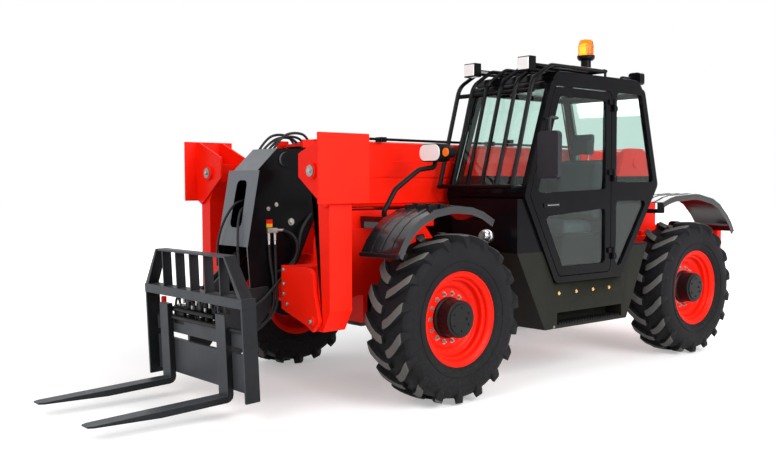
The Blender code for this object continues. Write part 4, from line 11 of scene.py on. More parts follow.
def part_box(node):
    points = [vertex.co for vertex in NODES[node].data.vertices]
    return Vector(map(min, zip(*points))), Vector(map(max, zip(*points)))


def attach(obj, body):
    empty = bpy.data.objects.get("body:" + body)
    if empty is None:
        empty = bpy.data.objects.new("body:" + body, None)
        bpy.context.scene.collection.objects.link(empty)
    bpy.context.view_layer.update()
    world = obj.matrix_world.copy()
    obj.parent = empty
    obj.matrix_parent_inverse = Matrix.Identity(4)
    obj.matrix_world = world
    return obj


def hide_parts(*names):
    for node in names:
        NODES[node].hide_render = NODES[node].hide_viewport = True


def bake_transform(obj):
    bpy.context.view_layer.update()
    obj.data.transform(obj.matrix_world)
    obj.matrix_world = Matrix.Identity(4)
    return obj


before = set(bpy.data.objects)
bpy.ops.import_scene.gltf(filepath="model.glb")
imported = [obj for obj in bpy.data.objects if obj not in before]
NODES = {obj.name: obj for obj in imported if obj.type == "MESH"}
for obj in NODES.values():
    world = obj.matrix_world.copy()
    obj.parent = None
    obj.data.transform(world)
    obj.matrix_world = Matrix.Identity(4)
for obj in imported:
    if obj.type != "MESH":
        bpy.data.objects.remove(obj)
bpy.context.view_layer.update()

# Sizes here are in metres. Along y they are counted from the front axle, as in the part's source.
AXLE_ORIGIN = Vector((0, sum(corner.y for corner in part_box("rim_fl")) / 2, 0))
TAU = math.tau

# Camera of the photograph, counted from the front axle
CAMERA_AT = (5.737, -4.622, 1.562)
CAMERA_YAW = math.radians(49.29)
CAMERA_PITCH = math.radians(2.76)
CAMERA_ROLL = math.radians(-0.11)
CAMERA_LENS_PX = 920
IMAGE_WIDE_PX = 776
SENSOR_WIDE = 36
CAMERA_REACH = 200


def shown(name, data):
    """A new object of the scene with this data."""
    thing = bpy.data.objects.new(name, data)
    bpy.context.scene.collection.objects.link(thing)
    return thing


def facing(way):
    """The turn that points z along a direction."""
    return Vector(way).to_track_quat("Z", "Y").to_matrix().to_4x4()


def camera():
    data = bpy.data.cameras.new("camera")
    data.sensor_fit = "HORIZONTAL"
    data.sensor_width = SENSOR_WIDE
    data.lens = CAMERA_LENS_PX / IMAGE_WIDE_PX * SENSOR_WIDE
    data.clip_end = CAMERA_REACH
    eye = shown("camera", data)
    flat = math.cos(CAMERA_PITCH)
    back = Vector((math.sin(CAMERA_YAW) * flat, -math.cos(CAMERA_YAW) * flat, math.sin(CAMERA_PITCH)))
    right = Vector((0, 0, 1)).cross(back).normalized()
    turn = Matrix((right, back.cross(right), back)).transposed() @ Matrix.Rotation(CAMERA_ROLL, 3, "Z")
    eye.matrix_world = Matrix.Translation(Vector(CAMERA_AT) + AXLE_ORIGIN) @ turn.to_4x4()
    bpy.context.scene.camera = eye


# Light: a soft key from the picture's left, a broad fill from its right, a lamp behind, and a pale room
LAMPS = (
    # name, place counted from the front axle, width, power
    ("key", (2.5, -8.0, 7.0), 6.0, 400),
    ("fill", (8.5, 1.0, 4.5), 6.0, 760),
    ("rear", (-2.0, 8.5, 5.0), 5.0, 190),
)
AIM_AT = (0, 0.9, 1.0)
ROOM_STRENGTH = 0.5
FLOOR_NEAR = 2.5
FLOOR_FAR = 8.0
FLOOR_GLOW = 0.36
FLOOR_HALF = 60


def light():
    for name, at, wide, power in LAMPS:
        data = bpy.data.lights.new(name, "AREA")
        data.size = wide
        data.energy = power
        lamp = shown(name, data)
        spot = Vector(at) + AXLE_ORIGIN
        lamp.matrix_world = Matrix.Translation(spot) @ facing(spot - Vector(AIM_AT) - AXLE_ORIGIN)
    scene = bpy.context.scene
    scene.view_settings.view_transform = "Standard"
    scene.world = bpy.data.worlds.new("room")
    scene.world.use_nodes = True
    tree = scene.world.node_tree
    background = tree.nodes["Background"]
    background.inputs["Color"].default_value = (1, 1, 1, 1)
    link(tree, seen_directly(tree, ROOM_STRENGTH, 1.0), background.inputs["Strength"])


def seen_directly(tree, unseen, seen):
    """A value that is seen where a ray comes from the eye, a mirror or a pane, and unseen elsewhere."""
    path = tree.nodes.new("ShaderNodeLightPath")
    clear = calc(tree, "MAXIMUM", path.outputs["Is Camera Ray"], path.outputs["Is Transmission Ray"])
    return blend_value(tree, calc(tree, "MAXIMUM", clear, path.outputs["Is Glossy Ray"]), unseen, seen)


# Node helpers
def link(tree, source, target):
    if isinstance(source, (int, float)):
        target.default_value = source
    else:
        tree.links.new(source, target)


def calc(tree, operation, first, second, clamp=False):
    node = tree.nodes.new("ShaderNodeMath")
    node.operation = operation
    node.use_clamp = clamp
    link(tree, first, node.inputs[0])
    link(tree, second, node.inputs[1])
    return node.outputs[0]


def scaled(tree, value, by, clamp=False):
    return calc(tree, "MULTIPLY", value, by, clamp)


def blend_value(tree, factor, low, high):
    node = tree.nodes.new("ShaderNodeMix")
    link(tree, factor, node.inputs[0])
    link(tree, low, node.inputs[2])
    link(tree, high, node.inputs[3])
    return node.outputs[0]


def blend_colour(tree, factor, low, high):
    node = tree.nodes.new("ShaderNodeMix")
    node.data_type = "RGBA"
    link(tree, factor, node.inputs[0])
    for value, socket in ((low, node.inputs[6]), (high, node.inputs[7])):
        if isinstance(value, tuple):
            socket.default_value = (*value, 1)
        else:
            tree.links.new(value, socket)
    return node.outputs[2]


def spread(tree, value, low, high):
    """Maps a value so that low becomes 0 and high becomes 1."""
    node = tree.nodes.new("ShaderNodeMapRange")
    link(tree, value, node.inputs["Value"])
    node.inputs["From Min"].default_value = low
    node.inputs["From Max"].default_value = high
    return node.outputs["Result"]


def noise(tree, place, scale, detail=3.0, roughness=0.55):
    node = tree.nodes.new("ShaderNodeTexNoise")
    node.inputs["Scale"].default_value = scale
    node.inputs["Detail"].default_value = detail
    node.inputs["Roughness"].default_value = roughness
    tree.links.new(place, node.inputs["Vector"])
    return node.outputs["Fac"]


def stretched(tree, place, scale):
    node = tree.nodes.new("ShaderNodeMapping")
    node.inputs["Scale"].default_value = scale
    tree.links.new(place, node.inputs["Vector"])
    return node.outputs["Vector"]


def patches(tree, place, scale, detail, roughness, low, high):
    """Noise cut into patches, 0 where it is under low and 1 where it is over high."""
    return spread(tree, noise(tree, place, scale, detail, roughness), low, high)


def bands(tree, place, direction, scale, distortion=0.0):
    node = tree.nodes.new("ShaderNodeTexWave")
    node.bands_direction = direction
    node.inputs["Scale"].default_value = scale
    node.inputs["Distortion"].default_value = distortion
    tree.links.new(place, node.inputs["Vector"])
    return node.outputs["Fac"]


def cells(tree, place, scale, feature="F1"):
    node = tree.nodes.new("ShaderNodeTexVoronoi")
    node.feature = feature
    node.inputs["Scale"].default_value = scale
    tree.links.new(place, node.inputs["Vector"])
    return node.outputs["Distance"]


def rise(tree, vector):
    """The z part of a vector."""
    node = tree.nodes.new("ShaderNodeSeparateXYZ")
    tree.links.new(vector, node.inputs[0])
    return node.outputs["Z"]


def effect(name, make, outputs=("Height", "Mask")):
    """A new node group that puts out what make builds from its tree and its object coordinates."""
    tree = bpy.data.node_groups.new(name, "ShaderNodeTree")
    for output in outputs:
        tree.interface.new_socket(output, in_out="OUTPUT", socket_type="NodeSocketFloat")
    place = tree.nodes.new("ShaderNodeTexCoord").outputs["Object"]
    end = tree.nodes.new("NodeGroupOutput")
    for output, made in zip(outputs, make(tree, place)):
        tree.links.new(made, end.inputs[output])
    return tree


# Effects that several finishes share. Dust lies up to DUST_TOP and on what faces up more than UP_FROM.
DUST_TOP = 1.1
UP_FROM = 0.35
LOW_SHARE = 0.55
UP_SHARE = 0.45
PIT_SHARE = 0.35
BRUSHED_STRETCH = (40, 40, 900)


def road_dust(tree, place):
    """Dust, a mottle that breaks every surface up a little, and smudges."""
    low = spread(tree, rise(tree, place), DUST_TOP, 0.0)
    up = spread(tree, rise(tree, tree.nodes.new("ShaderNodeNewGeometry").outputs["Normal"]), UP_FROM, 1.0)
    lying = calc(tree, "ADD", scaled(tree, low, LOW_SHARE), scaled(tree, up, UP_SHARE))
    specks = patches(tree, place, scale=38, detail=4.0, roughness=0.7, low=0.42, high=0.72)
    mottle = noise(tree, place, scale=3.2, detail=6.0, roughness=0.6)
    smudge = patches(tree, place, scale=9, detail=5.0, roughness=0.65, low=0.35, high=0.75)
    return scaled(tree, lying, specks, clamp=True), mottle, smudge


def sprayed_paint(tree, place):
    """The faint waviness of sprayed paint."""
    flecks = patches(tree, place, scale=420, detail=2.0, roughness=0.55, low=0.62, high=0.8)
    return noise(tree, place, scale=120, detail=2.0), flecks


def cast_skin(tree, place):
    """The pitted skin of castings and thick plate."""
    grain = noise(tree, place, scale=160, detail=6.0, roughness=0.7)
    pits = scaled(tree, cells(tree, place, scale=240), PIT_SHARE)
    return calc(tree, "ADD", grain, pits), spread(tree, grain, low=0.5, high=0.7)


def moulded_rubber(tree, place):
    """Fine grain of rubber, with a chalky bloom in patches."""
    bloom = patches(tree, place, scale=14, detail=6.0, roughness=0.7, low=0.45, high=0.75)
    return noise(tree, place, scale=300, detail=5.0, roughness=0.7), bloom


def moulded_grain(tree, place):
    """The leathery grain of moulded plastic."""
    pores = cells(tree, place, scale=650, feature="SMOOTH_F1")
    return pores, spread(tree, pores, low=0.2, high=0.6)


def brushed_metal(tree, place):
    """Fine lines round and along bare metal."""
    stains = patches(tree, place, scale=60, detail=5.0, roughness=0.7, low=0.5, high=0.7)
    return noise(tree, stretched(tree, place, BRUSHED_STRETCH), scale=1.0), stains


def woven_cloth(tree, place):
    """Crossed threads of the seat's cloth."""
    threads = [bands(tree, place, axis, scale=130, distortion=1.2) for axis in ("X", "Z")]
    wear = patches(tree, place, scale=90, detail=4.0, roughness=0.55, low=0.4, high=0.7)
    return calc(tree, "MAXIMUM", *threads), wear


def braided_hose(tree, place):
    """The slanted braid that shows through a hose's cover."""
    wear = patches(tree, place, scale=45, detail=4.0, roughness=0.55, low=0.45, high=0.7)
    return bands(tree, place, "DIAGONAL", scale=160, distortion=0.6), wear


def pressed_lens(tree, place):
    """Ribs pressed into a lamp's lens."""
    haze = patches(tree, place, scale=80, detail=3.0, roughness=0.55, low=0.4, high=0.7)
    return bands(tree, place, "X", scale=35), haze


EFFECTS = {
    "paint": effect("sprayed paint", sprayed_paint),
    "cast": effect("cast skin", cast_skin),
    "rubber": effect("moulded rubber", moulded_rubber),
    "grain": effect("moulded grain", moulded_grain),
    "brushed": effect("brushed metal", brushed_metal),
    "weave": effect("woven cloth", woven_cloth),
    "braid": effect("braided hose", braided_hose),
    "lens": effect("pressed lens", pressed_lens),
}
DUST = effect("road dust", road_dust, ("Dust", "Mottle", "Smudge"))
DUST_COLOUR = (0.3, 0.27, 0.23)

# How strongly the effects show on finishes and panes
MOTTLE_RANGE = (0.35, 0.75)
MASK_SHARE = 0.35
COAT_ROUGHNESS = 0.12
SMUDGE_SHARE = 0.1
SMUDGE_MEAN = 0.03
DUST_ROUGHENS = 0.5
PANE_IOR = 1.3
PANE_VIEW_ALPHA = 0.4
PANE_FILM = 0.07
PANE_SMUDGE = 0.03
FLOOR_SHADES = ((0.78, 0.78, 0.78), (0.82, 0.82, 0.82))

FINISHES = {
    # name: colour, second colour, roughness, metal, shine, coat, effect, bump height in mm, share of dust
    "red_paint": ((0.93, 0.012, 0.002), (0.86, 0.01, 0.002), 0.38, 0.0, 0.1, 0.03, "paint", 0.05, 0.02),
    "black_paint": ((0.003, 0.003, 0.004), (0.005, 0.005, 0.006), 0.2, 0.0, 0.07, 0.0, "paint", 0.03, 0.02),
    "skirt_paint": ((0.017, 0.017, 0.0135), (0.013, 0.013, 0.01), 0.42, 0.0, 0.07, 0.0, "cast", 0.1, 0.05),
    "fork_paint": ((0.046, 0.05, 0.057), (0.058, 0.063, 0.071), 0.42, 0.1, 0.15, 0.0, "cast", 0.1, 0.04),
    # The next row is a painted reflection: a light grey for the forward faces of the black boom head
    "head_front_painted_reflection": ((0.125, 0.135, 0.15), (0.15, 0.16, 0.175), 0.36, 0.1, 0.25, 0.0, "cast", 0.06, 0.03),
    # The next row is a darker copy of fork_paint: painted shade for the sideways faces of the forks and
    # carriage
    "fork_side_painted_shade": ((0.012, 0.013, 0.015), (0.017, 0.018, 0.021), 0.42, 0.1, 0.12, 0.0, "cast", 0.1, 0.04),
    "frame_paint": ((0.006, 0.006, 0.007), (0.011, 0.011, 0.012), 0.5, 0.0, 0.1, 0.0, "cast", 0.25, 0.08),
    "hub_paint": ((0.006, 0.006, 0.007), (0.01, 0.01, 0.011), 0.36, 0.0, 0.14, 0.0, "cast", 0.12, 0.05),
    "tyre_rubber": ((0.008, 0.008, 0.009), (0.013, 0.013, 0.015), 0.6, 0.0, 0.08, 0.0, "rubber", 0.3, 0.07),
    "worn_rubber": ((0.095, 0.093, 0.091), (0.13, 0.127, 0.122), 0.8, 0.0, 0.12, 0.0, "rubber", 0.4, 0.25),
    "plastic": ((0.004, 0.004, 0.005), (0.008, 0.008, 0.009), 0.36, 0.0, 0.09, 0.0, "grain", 0.06, 0.04),
    "grey_plastic": ((0.02, 0.02, 0.025), (0.027, 0.027, 0.033), 0.45, 0.0, 0.15, 0.0, "grain", 0.06, 0.04),
    "guard_plastic": ((0.006, 0.006, 0.008), (0.01, 0.01, 0.013), 0.15, 0.0, 0.6, 0.05, "grain", 0.02, 0.03),
    "seat_cloth": ((0.026, 0.034, 0.038), (0.042, 0.052, 0.056), 0.9, 0.0, 0.12, 0.0, "weave", 0.5, 0.02),
    "seal_rubber": ((0.004, 0.004, 0.004), (0.008, 0.008, 0.008), 0.5, 0.0, 0.12, 0.0, "rubber", 0.1, 0.04),
    "hose_rubber": ((0.007, 0.007, 0.008), (0.013, 0.013, 0.014), 0.4, 0.0, 0.22, 0.0, "braid", 0.25, 0.05),
    "steel": ((0.62, 0.62, 0.63), (0.48, 0.48, 0.49), 0.24, 1.0, 0.5, 0.0, "brushed", 0.03, 0.05),
    "zinc": ((0.42, 0.41, 0.38), (0.28, 0.27, 0.25), 0.38, 1.0, 0.5, 0.0, "cast", 0.06, 0.05),
    "brass": ((0.85, 0.6, 0.22), (0.7, 0.46, 0.16), 0.3, 1.0, 0.5, 0.0, "cast", 0.05, 0.05),
    "bright_trim": ((0.3, 0.31, 0.32), (0.22, 0.23, 0.24), 0.26, 0.8, 0.5, 0.0, "brushed", 0.02, 0.02),
    "mirror_face": ((0.85, 0.87, 0.88), (0.8, 0.82, 0.84), 0.03, 1.0, 0.5, 0.0, "brushed", 0.001, 0.02),
    "white_lens": ((0.95, 0.95, 0.94), (0.88, 0.88, 0.88), 0.14, 0.0, 0.5, 0.3, "lens", 0.6, 0.01),
    "yellow_plate": ((0.9, 0.5, 0.01), (0.82, 0.44, 0.01), 0.4, 0.0, 0.4, 0.1, "paint", 0.02, 0.03),
    "orange_lens": ((0.95, 0.2, 0.005), (0.85, 0.16, 0.005), 0.18, 0.0, 0.5, 0.3, "lens", 0.5, 0.02),
    "red_lens": ((0.55, 0.01, 0.01), (0.45, 0.01, 0.01), 0.16, 0.0, 0.5, 0.3, "lens", 0.5, 0.03),
}
PANES = {
    # name: tint, roughness, how much light its shadow lets through, effect, bump height in mm
    "green_glass": ((0.74, 0.89, 0.84), 0.01, 0.85, "paint", 0.004),
    "amber_lens": ((1.0, 0.24, 0.0), 0.08, 0.6, "lens", 0.6),
}


def group_node(tree, effect_tree):
    node = tree.nodes.new("ShaderNodeGroup")
    node.node_tree = effect_tree
    return node.outputs


def relief(tree, height, millimetres):
    bump = tree.nodes.new("ShaderNodeBump")
    bump.inputs["Distance"].default_value = millimetres / 1000
    tree.links.new(height, bump.inputs["Height"])
    return bump.outputs["Normal"]


def new_look(name, sockets, view=None):
    """A new material, its node tree and its shader with these sockets set. view is its flat colour."""
    look = bpy.data.materials.new(name)
    look.use_nodes = True
    if view:
        look.diffuse_color = view
    shader = look.node_tree.nodes["Principled BSDF"]
    for socket, value in sockets.items():
        shader.inputs[socket].default_value = value
    return look, look.node_tree, shader


def finish(name):
    colour, second, roughness, metal, shine, coat, pattern, height, dusty = FINISHES[name]
    sockets = {"Metallic": metal, "Specular IOR Level": shine, "Coat Weight": coat}
    sockets["Coat Roughness"] = COAT_ROUGHNESS
    look, tree, shader = new_look(name, sockets, (*colour, 1))
    dust = group_node(tree, DUST)
    surface = group_node(tree, EFFECTS[pattern])
    varied = blend_colour(tree, spread(tree, dust["Mottle"], *MOTTLE_RANGE), colour, second)
    marked = blend_colour(tree, scaled(tree, surface["Mask"], MASK_SHARE), varied, second)
    lying = scaled(tree, dust["Dust"], dusty, clamp=True)
    tree.links.new(blend_colour(tree, lying, marked, DUST_COLOUR), shader.inputs["Base Color"])
    smeared = calc(tree, "ADD", scaled(tree, dust["Smudge"], SMUDGE_SHARE), roughness - SMUDGE_MEAN)
    dulled = calc(tree, "ADD", smeared, scaled(tree, lying, DUST_ROUGHENS), clamp=True)
    link(tree, dulled, shader.inputs["Roughness"])
    tree.links.new(relief(tree, surface["Height"], height), shader.inputs["Normal"])
    return look


def pane(name):
    tint, roughness, passing, pattern, height = PANES[name]
    sockets = {"Transmission Weight": 1, "Metallic": 0, "IOR": PANE_IOR}
    look, tree, shader = new_look(name, sockets, (*tint, PANE_VIEW_ALPHA))
    dust = group_node(tree, DUST)
    surface = group_node(tree, EFFECTS[pattern])
    film = scaled(tree, dust["Mottle"], PANE_FILM)
    tree.links.new(blend_colour(tree, film, tint, DUST_COLOUR), shader.inputs["Base Color"])
    smeared = calc(tree, "ADD", scaled(tree, dust["Smudge"], PANE_SMUDGE), roughness)
    link(tree, smeared, shader.inputs["Roughness"])
    tree.links.new(relief(tree, surface["Height"], height), shader.inputs["Normal"])
    shadow = tree.nodes.new("ShaderNodeLightPath").outputs["Is Shadow Ray"]
    link(tree, calc(tree, "SUBTRACT", 1.0, scaled(tree, shadow, passing)), shader.inputs["Alpha"])
    return look


def floor_finish():
    """White where it is lit, and paler with distance, so that the floor and the room meet without a line."""
    sockets = {"Roughness": 0.85, "Specular IOR Level": 0.1, "Emission Color": (1, 1, 1, 1)}
    look, tree, shader = new_look("studio_floor", sockets)
    place = tree.nodes.new("ShaderNodeTexCoord").outputs["Object"]
    shade = blend_colour(tree, noise(tree, place, scale=0.8), *FLOOR_SHADES)
    tree.links.new(shade, shader.inputs["Base Color"])
    length = tree.nodes.new("ShaderNodeVectorMath")
    length.operation = "LENGTH"
    tree.links.new(place, length.inputs[0])
    far = spread(tree, length.outputs["Value"], FLOOR_NEAR, FLOOR_FAR)
    glow = blend_value(tree, far, FLOOR_GLOW, 1.0)
    link(tree, seen_directly(tree, 0.0, glow), shader.inputs["Emission Strength"])
    return look


LOOKS = {name: finish(name) for name in FINISHES}
LOOKS.update({name: pane(name) for name in PANES})


def floor():
    shape = bmesh.new()
    bmesh.ops.create_grid(shape, x_segments=2, y_segments=2, size=FLOOR_HALF)
    mesh = bpy.data.meshes.new("floor")
    shape.to_mesh(mesh)
    shape.free()
    mesh.materials.append(floor_finish())
    ground = shown("floor", mesh)


# Shape helpers. Each returns a bmesh in metres, counted from the front axle.
MERGE_WITHIN = 0.00002
BOLT_HEAD = ((0, 0), (1, 0), (1, 0.75), (0.85, 0.95), (0, 0.95))
BOLT_WASHER = ((0.5, 0), (1.45, 0), (1.45, 0.22), (0.5, 0.22))


def tidy(shape):
    bmesh.ops.remove_doubles(shape, verts=shape.verts, dist=MERGE_WITHIN)
    bmesh.ops.recalc_face_normals(shape, faces=shape.faces)
    return shape


def bevel(shape, edges, size, segments=2):
    bmesh.ops.bevel(shape, geom=edges, offset=size, offset_type="OFFSET", segments=segments, profile=0.5,
                    affect="EDGES", material=-1, clamp_overlap=True)
    return shape


def round_edges(shape, size, segments, sharper=25):
    """Bevels the edges where faces meet at more than an angle in degrees."""
    if size:
        edges = [edge for edge in shape.edges if edge.calc_face_angle(0) > math.radians(sharper)]
        bevel(shape, edges, size, segments)
    return shape


def plate(outline, along, low, high, round_by, segments=2):
    """An outline drawn across an axis and pulled along it.

    Across x its points are (y, z), and across y they are (x, z).
    """
    low, high = sorted((low, high))

    def point(first, second, third):
        return {"x": (third, first, second), "y": (first, third, second)}[along]

    shape = bmesh.new()
    face = shape.faces.new([shape.verts.new(point(a, b, low)) for a, b in outline])
    grown = bmesh.ops.extrude_face_region(shape, geom=[face])["geom"]
    far = [part for part in grown if isinstance(part, bmesh.types.BMVert)]
    bmesh.ops.translate(shape, vec=point(0, 0, high - low), verts=far)
    bmesh.ops.recalc_face_normals(shape, faces=shape.faces)
    return round_edges(shape, round_by, segments)


def block(low, high, round_by):
    corners = ((low[1], low[2]), (high[1], low[2]), (high[1], high[2]), (low[1], high[2]))
    return plate(corners, "x", low[0], high[0], round_by)


def turned(profile, at=(0, 0, 0), way=(0, 0, 1), steps=24, closed=False):
    """A profile of (radius, distance along) spun about a line through at."""
    shape = bmesh.new()
    ring = [shape.verts.new((radius, 0, along)) for radius, along in profile]
    pairs = list(zip(ring, ring[1:])) + ([(ring[-1], ring[0])] if closed else [])
    edges = [shape.edges.new(pair) for pair in pairs]
    bmesh.ops.spin(shape, geom=ring + edges, cent=(0, 0, 0), axis=(0, 0, 1), dvec=(0, 0, 0), angle=TAU,
                   steps=steps, use_merge=True, use_duplicate=False)
    tidy(shape)
    shape.transform(Matrix.Translation(at) @ facing(way))
    return shape


def pin(start, end, radius, steps=16, round_by=0.002):
    """A round pin or bar with broken edges."""
    start, end = Vector(start), Vector(end)
    length = (end - start).length
    inner = radius - round_by
    profile = ((0, 0), (inner, 0), (radius, round_by), (radius, length - round_by), (inner, length))
    return turned((*profile, (0, length)), start, end - start, steps)


def bolt(at, way, size):
    """A hexagon head on its washer. size is the head's radius."""
    head = turned([(radius * size, along * size) for radius, along in BOLT_HEAD], steps=6)
    washer = turned([(radius * size, along * size) for radius, along in BOLT_WASHER], steps=12, closed=True)
    whole = joined([head, washer])
    whole.transform(Matrix.Translation(at) @ facing(way))
    return whole


def joined(shapes):
    whole = bmesh.new()
    mesh = bpy.data.meshes.new("join")
    for shape in shapes:
        shape.to_mesh(mesh)
        whole.from_mesh(mesh)
        shape.free()
    bpy.data.meshes.remove(mesh)
    return whole


HOSE_SIDES = 2
HOSE_STEPS = 5


def hose(points, radius, smooth=True):
    """A hose or bent tube along a run of points."""
    curve = bpy.data.curves.new("hose", "CURVE")
    curve.dimensions = "3D"
    curve.bevel_depth = radius
    curve.bevel_resolution = HOSE_SIDES
    curve.use_fill_caps = True
    curve.resolution_u = HOSE_STEPS
    spline = curve.splines.new("NURBS" if smooth else "POLY")
    spline.points.add(len(points) - 1)
    for knot, point in zip(spline.points, points):
        knot.co = (*point, 1)
    if smooth:
        spline.order_u = 3
        spline.use_endpoint_u = True
    guide = bpy.data.objects.new("hose", curve)
    shape = bmesh.new()
    shape.from_mesh(bpy.data.meshes.new_from_object(guide))
    bpy.data.objects.remove(guide)
    return tidy(shape)


def bent(points, radius, steps):
    """The points with each inner corner turned into an arc."""
    points = [Vector(point) for point in points]
    made = [points[0]]
    for before, corner, after in zip(points, points[1:], points[2:]):
        back, ahead = (before - corner).normalized(), (after - corner).normalized()
        half = back.angle(ahead) / 2
        middle = corner + (back + ahead).normalized() * radius / math.sin(half)
        first = corner + back * radius / math.tan(half) - middle
        second = corner + ahead * radius / math.tan(half) - middle
        sweep = math.pi - 2 * half
        for step in range(steps + 1):
            share = step / steps
            swung = first * math.sin((1 - share) * sweep) + second * math.sin(share * sweep)
            made.append(middle + swung / math.sin(sweep))
    return [*made, points[-1]]


# Readers of tables. Each gives (shape, finish) pairs.
def blocks(rows):
    return [(block(*shape), look) for *shape, look in rows]


def pins(rows):
    return [(pin(*shape), look) for *shape, look in rows]


def hoses(runs, radius):
    return [(hose(run, radius), "hose_rubber") for run in runs]


def worked_mesh(thing):
    """A mesh of the object as its modifiers leave it."""
    return bpy.data.meshes.new_from_object(thing.evaluated_get(bpy.context.evaluated_depsgraph_get()))


def level_normals(thing):
    """Keeps wide flat faces evenly shaded beside their rounded edges."""
    even = thing.modifiers.new("even", "WEIGHTED_NORMAL")
    even.keep_sharp = True
    made = worked_mesh(thing)
    thing.modifiers.remove(even)
    thing.data = made


def put(name, parts, body, replaces=(), crease=32):
    """Joins (shape, finish) pairs into one object that moves with a body of the frame, or with none yet.

    A part may also give a second finish and the test that picks its faces.
    """
    whole = bmesh.new()
    mesh = bpy.data.meshes.new(name)
    looks = []
    for shape, look, *other in parts:
        looks += [wanted for wanted in (look, *other[:1]) if wanted not in looks]
        for face in shape.faces:
            chosen = other[0] if other and other[1](face) else look
            face.material_index = looks.index(chosen)
        shape.to_mesh(mesh)
        whole.from_mesh(mesh)
        shape.free()
    whole.transform(Matrix.Translation(AXLE_ORIGIN))
    whole.to_mesh(mesh)
    whole.free()
    for look in looks:
        mesh.materials.append(LOOKS[look])
    mesh.shade_smooth()
    mesh.set_sharp_from_angle(angle=math.radians(crease))
    thing = shown(name, mesh)
    level_normals(thing)
    if body:
        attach(thing, body)
    if replaces:
        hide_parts(*replaces)
    return thing


# The frame's own pieces that stay as they are get their finish
KEPT = {
    "red_paint": ("boom_mid",),
    "black_paint": ("boom_inner", "cab_guard", "lift_cylinder_barrel"),
    "frame_paint": ("engine_block", "knuckle_fl", "knuckle_fr", "knuckle_rl", "knuckle_rr"),
    "steel": ("tilt_cylinder_rod", "lift_cylinder_rod"),
    "green_glass": ("windscreen", "glass_door", "glass_quarter", "glass_rear", "glass_right"),
}


def keep_frame():
    for look, names in KEPT.items():
        for name in names:
            data = NODES[name].data
            data.materials.clear()
            data.materials.append(LOOKS[look])


# Solids of the frame that are kept in shape, with their sharp edges broken
ROUNDED = (
    # nodes, body, finish, edge radius
    ("front_frame", "machine", "red_paint", 0.005),
    ("chassis_frame", "machine", "red_paint", 0.004),
    ("boom_tower", "machine", "red_paint", 0.006),
    ("counterweight", "machine", "red_paint", 0.012),
    ("boom_outer", "boom", "red_paint", 0.004),
    ("stabiliser_leg_left", "leg_left", "red_paint", 0.008),
    ("stabiliser_leg_right", "leg_right", "red_paint", 0.008),
    ("stabiliser_foot_left", "foot_left", "red_paint", 0.008),
    ("stabiliser_foot_right", "foot_right", "red_paint", 0.008),
    ("cab_shell", "machine", "black_paint", 0.005),
    ("cab_door", "door", "black_paint", 0.005),
    ("cab_roof", "machine", "black_paint", 0.01),
    ("engine_cover", "machine", "black_paint", 0.01),
    ("engine_hood", "hood", "black_paint", 0.01),
    ("tilt_cylinder_barrel", "tilt_barrel", "black_paint", 0.002),
    ("fuel_tank", "machine", "skirt_paint", 0.02),
    ("front_axle rear_axle", "machine", "frame_paint", 0.004),
    ("cab_interior headlamp_left headlamp_right", "machine", "plastic", 0.004),
    ("mirror_left mirror_right", "machine", "grey_plastic", 0.008),
    ("mudguard_fl mudguard_fr mudguard_rl mudguard_rr", "machine", "guard_plastic", 0.003),
)
FLAT_WITHIN = math.radians(0.5)
SHARP_FROM = math.radians(28)


def solid_copy(name, cuts=()):
    """A node's own solid with its loose triangles joined into whole faces, cut across z where cuts say."""
    shape = bmesh.new()
    shape.from_mesh(NODES[name].data)
    bmesh.ops.translate(shape, vec=-AXLE_ORIGIN, verts=shape.verts)
    bmesh.ops.remove_doubles(shape, verts=shape.verts, dist=MERGE_WITHIN)
    bmesh.ops.dissolve_limit(
        shape, angle_limit=FLAT_WITHIN, verts=shape.verts, edges=shape.edges, use_dissolve_boundaries=False
    )
    for z in cuts:
        everything = [*shape.verts, *shape.edges, *shape.faces]
        bmesh.ops.bisect_plane(shape, geom=everything, plane_co=(0, 0, z), plane_no=(0, 0, 1))
    return shape


def softened(shape, size):
    """Rounds the outer edges of a solid copy."""
    outer = [edge for edge in shape.edges if edge.is_manifold and edge.is_convex]
    return bevel(shape, [edge for edge in outer if edge.calc_face_angle(0) > SHARP_FROM], size)


def rounded_pieces():
    for names, body, look, size in ROUNDED:
        for name in names.split():
            put(f"{name}_rounded", [(softened(solid_copy(name), size), look)], body, [name])


FORK_EDGE = 0.004
BASE_EDGE = 0.006
HEAD_EDGE = 0.005
NOSE_Z = 1.04
FORWARD = -0.15
SIDEWAYS = 0.7
NEARLY_SIDEWAYS = 0.9


def painted_pieces():
    """Pieces with a second finish on some of their faces: painted shade on the forks' sides, a painted
    reflection on the boom head's front, and black paint on the cab base's nose.
    """

    def nose(face):
        return face.calc_center_median().z > NOSE_Z

    def front(face):
        return face.normal.y < FORWARD and abs(face.normal.x) < NEARLY_SIDEWAYS

    def side(face):
        return abs(face.normal.x) > SIDEWAYS

    # The forks' and carriage's sideways faces get painted shade, a darker copy of fork_paint
    for name in ("fork_carriage", "fork_left", "fork_right"):
        shape = softened(solid_copy(name), FORK_EDGE)
        put(f"{name}_rounded", [(shape, "fork_paint", "fork_side_painted_shade", side)], "carriage", [name])
    base = softened(solid_copy("cab_base", (NOSE_Z,)), BASE_EDGE)
    put("cab_base_rounded", [(base, "skirt_paint", "black_paint", nose)], "machine", ["cab_base"])
    # The head's forward faces get a painted reflection, a light grey over its black paint
    head = softened(solid_copy("boom_head"), HEAD_EDGE)
    put("boom_head_rounded", [(head, "black_paint", "head_front_painted_reflection", front)], "boom_third", ["boom_head"])


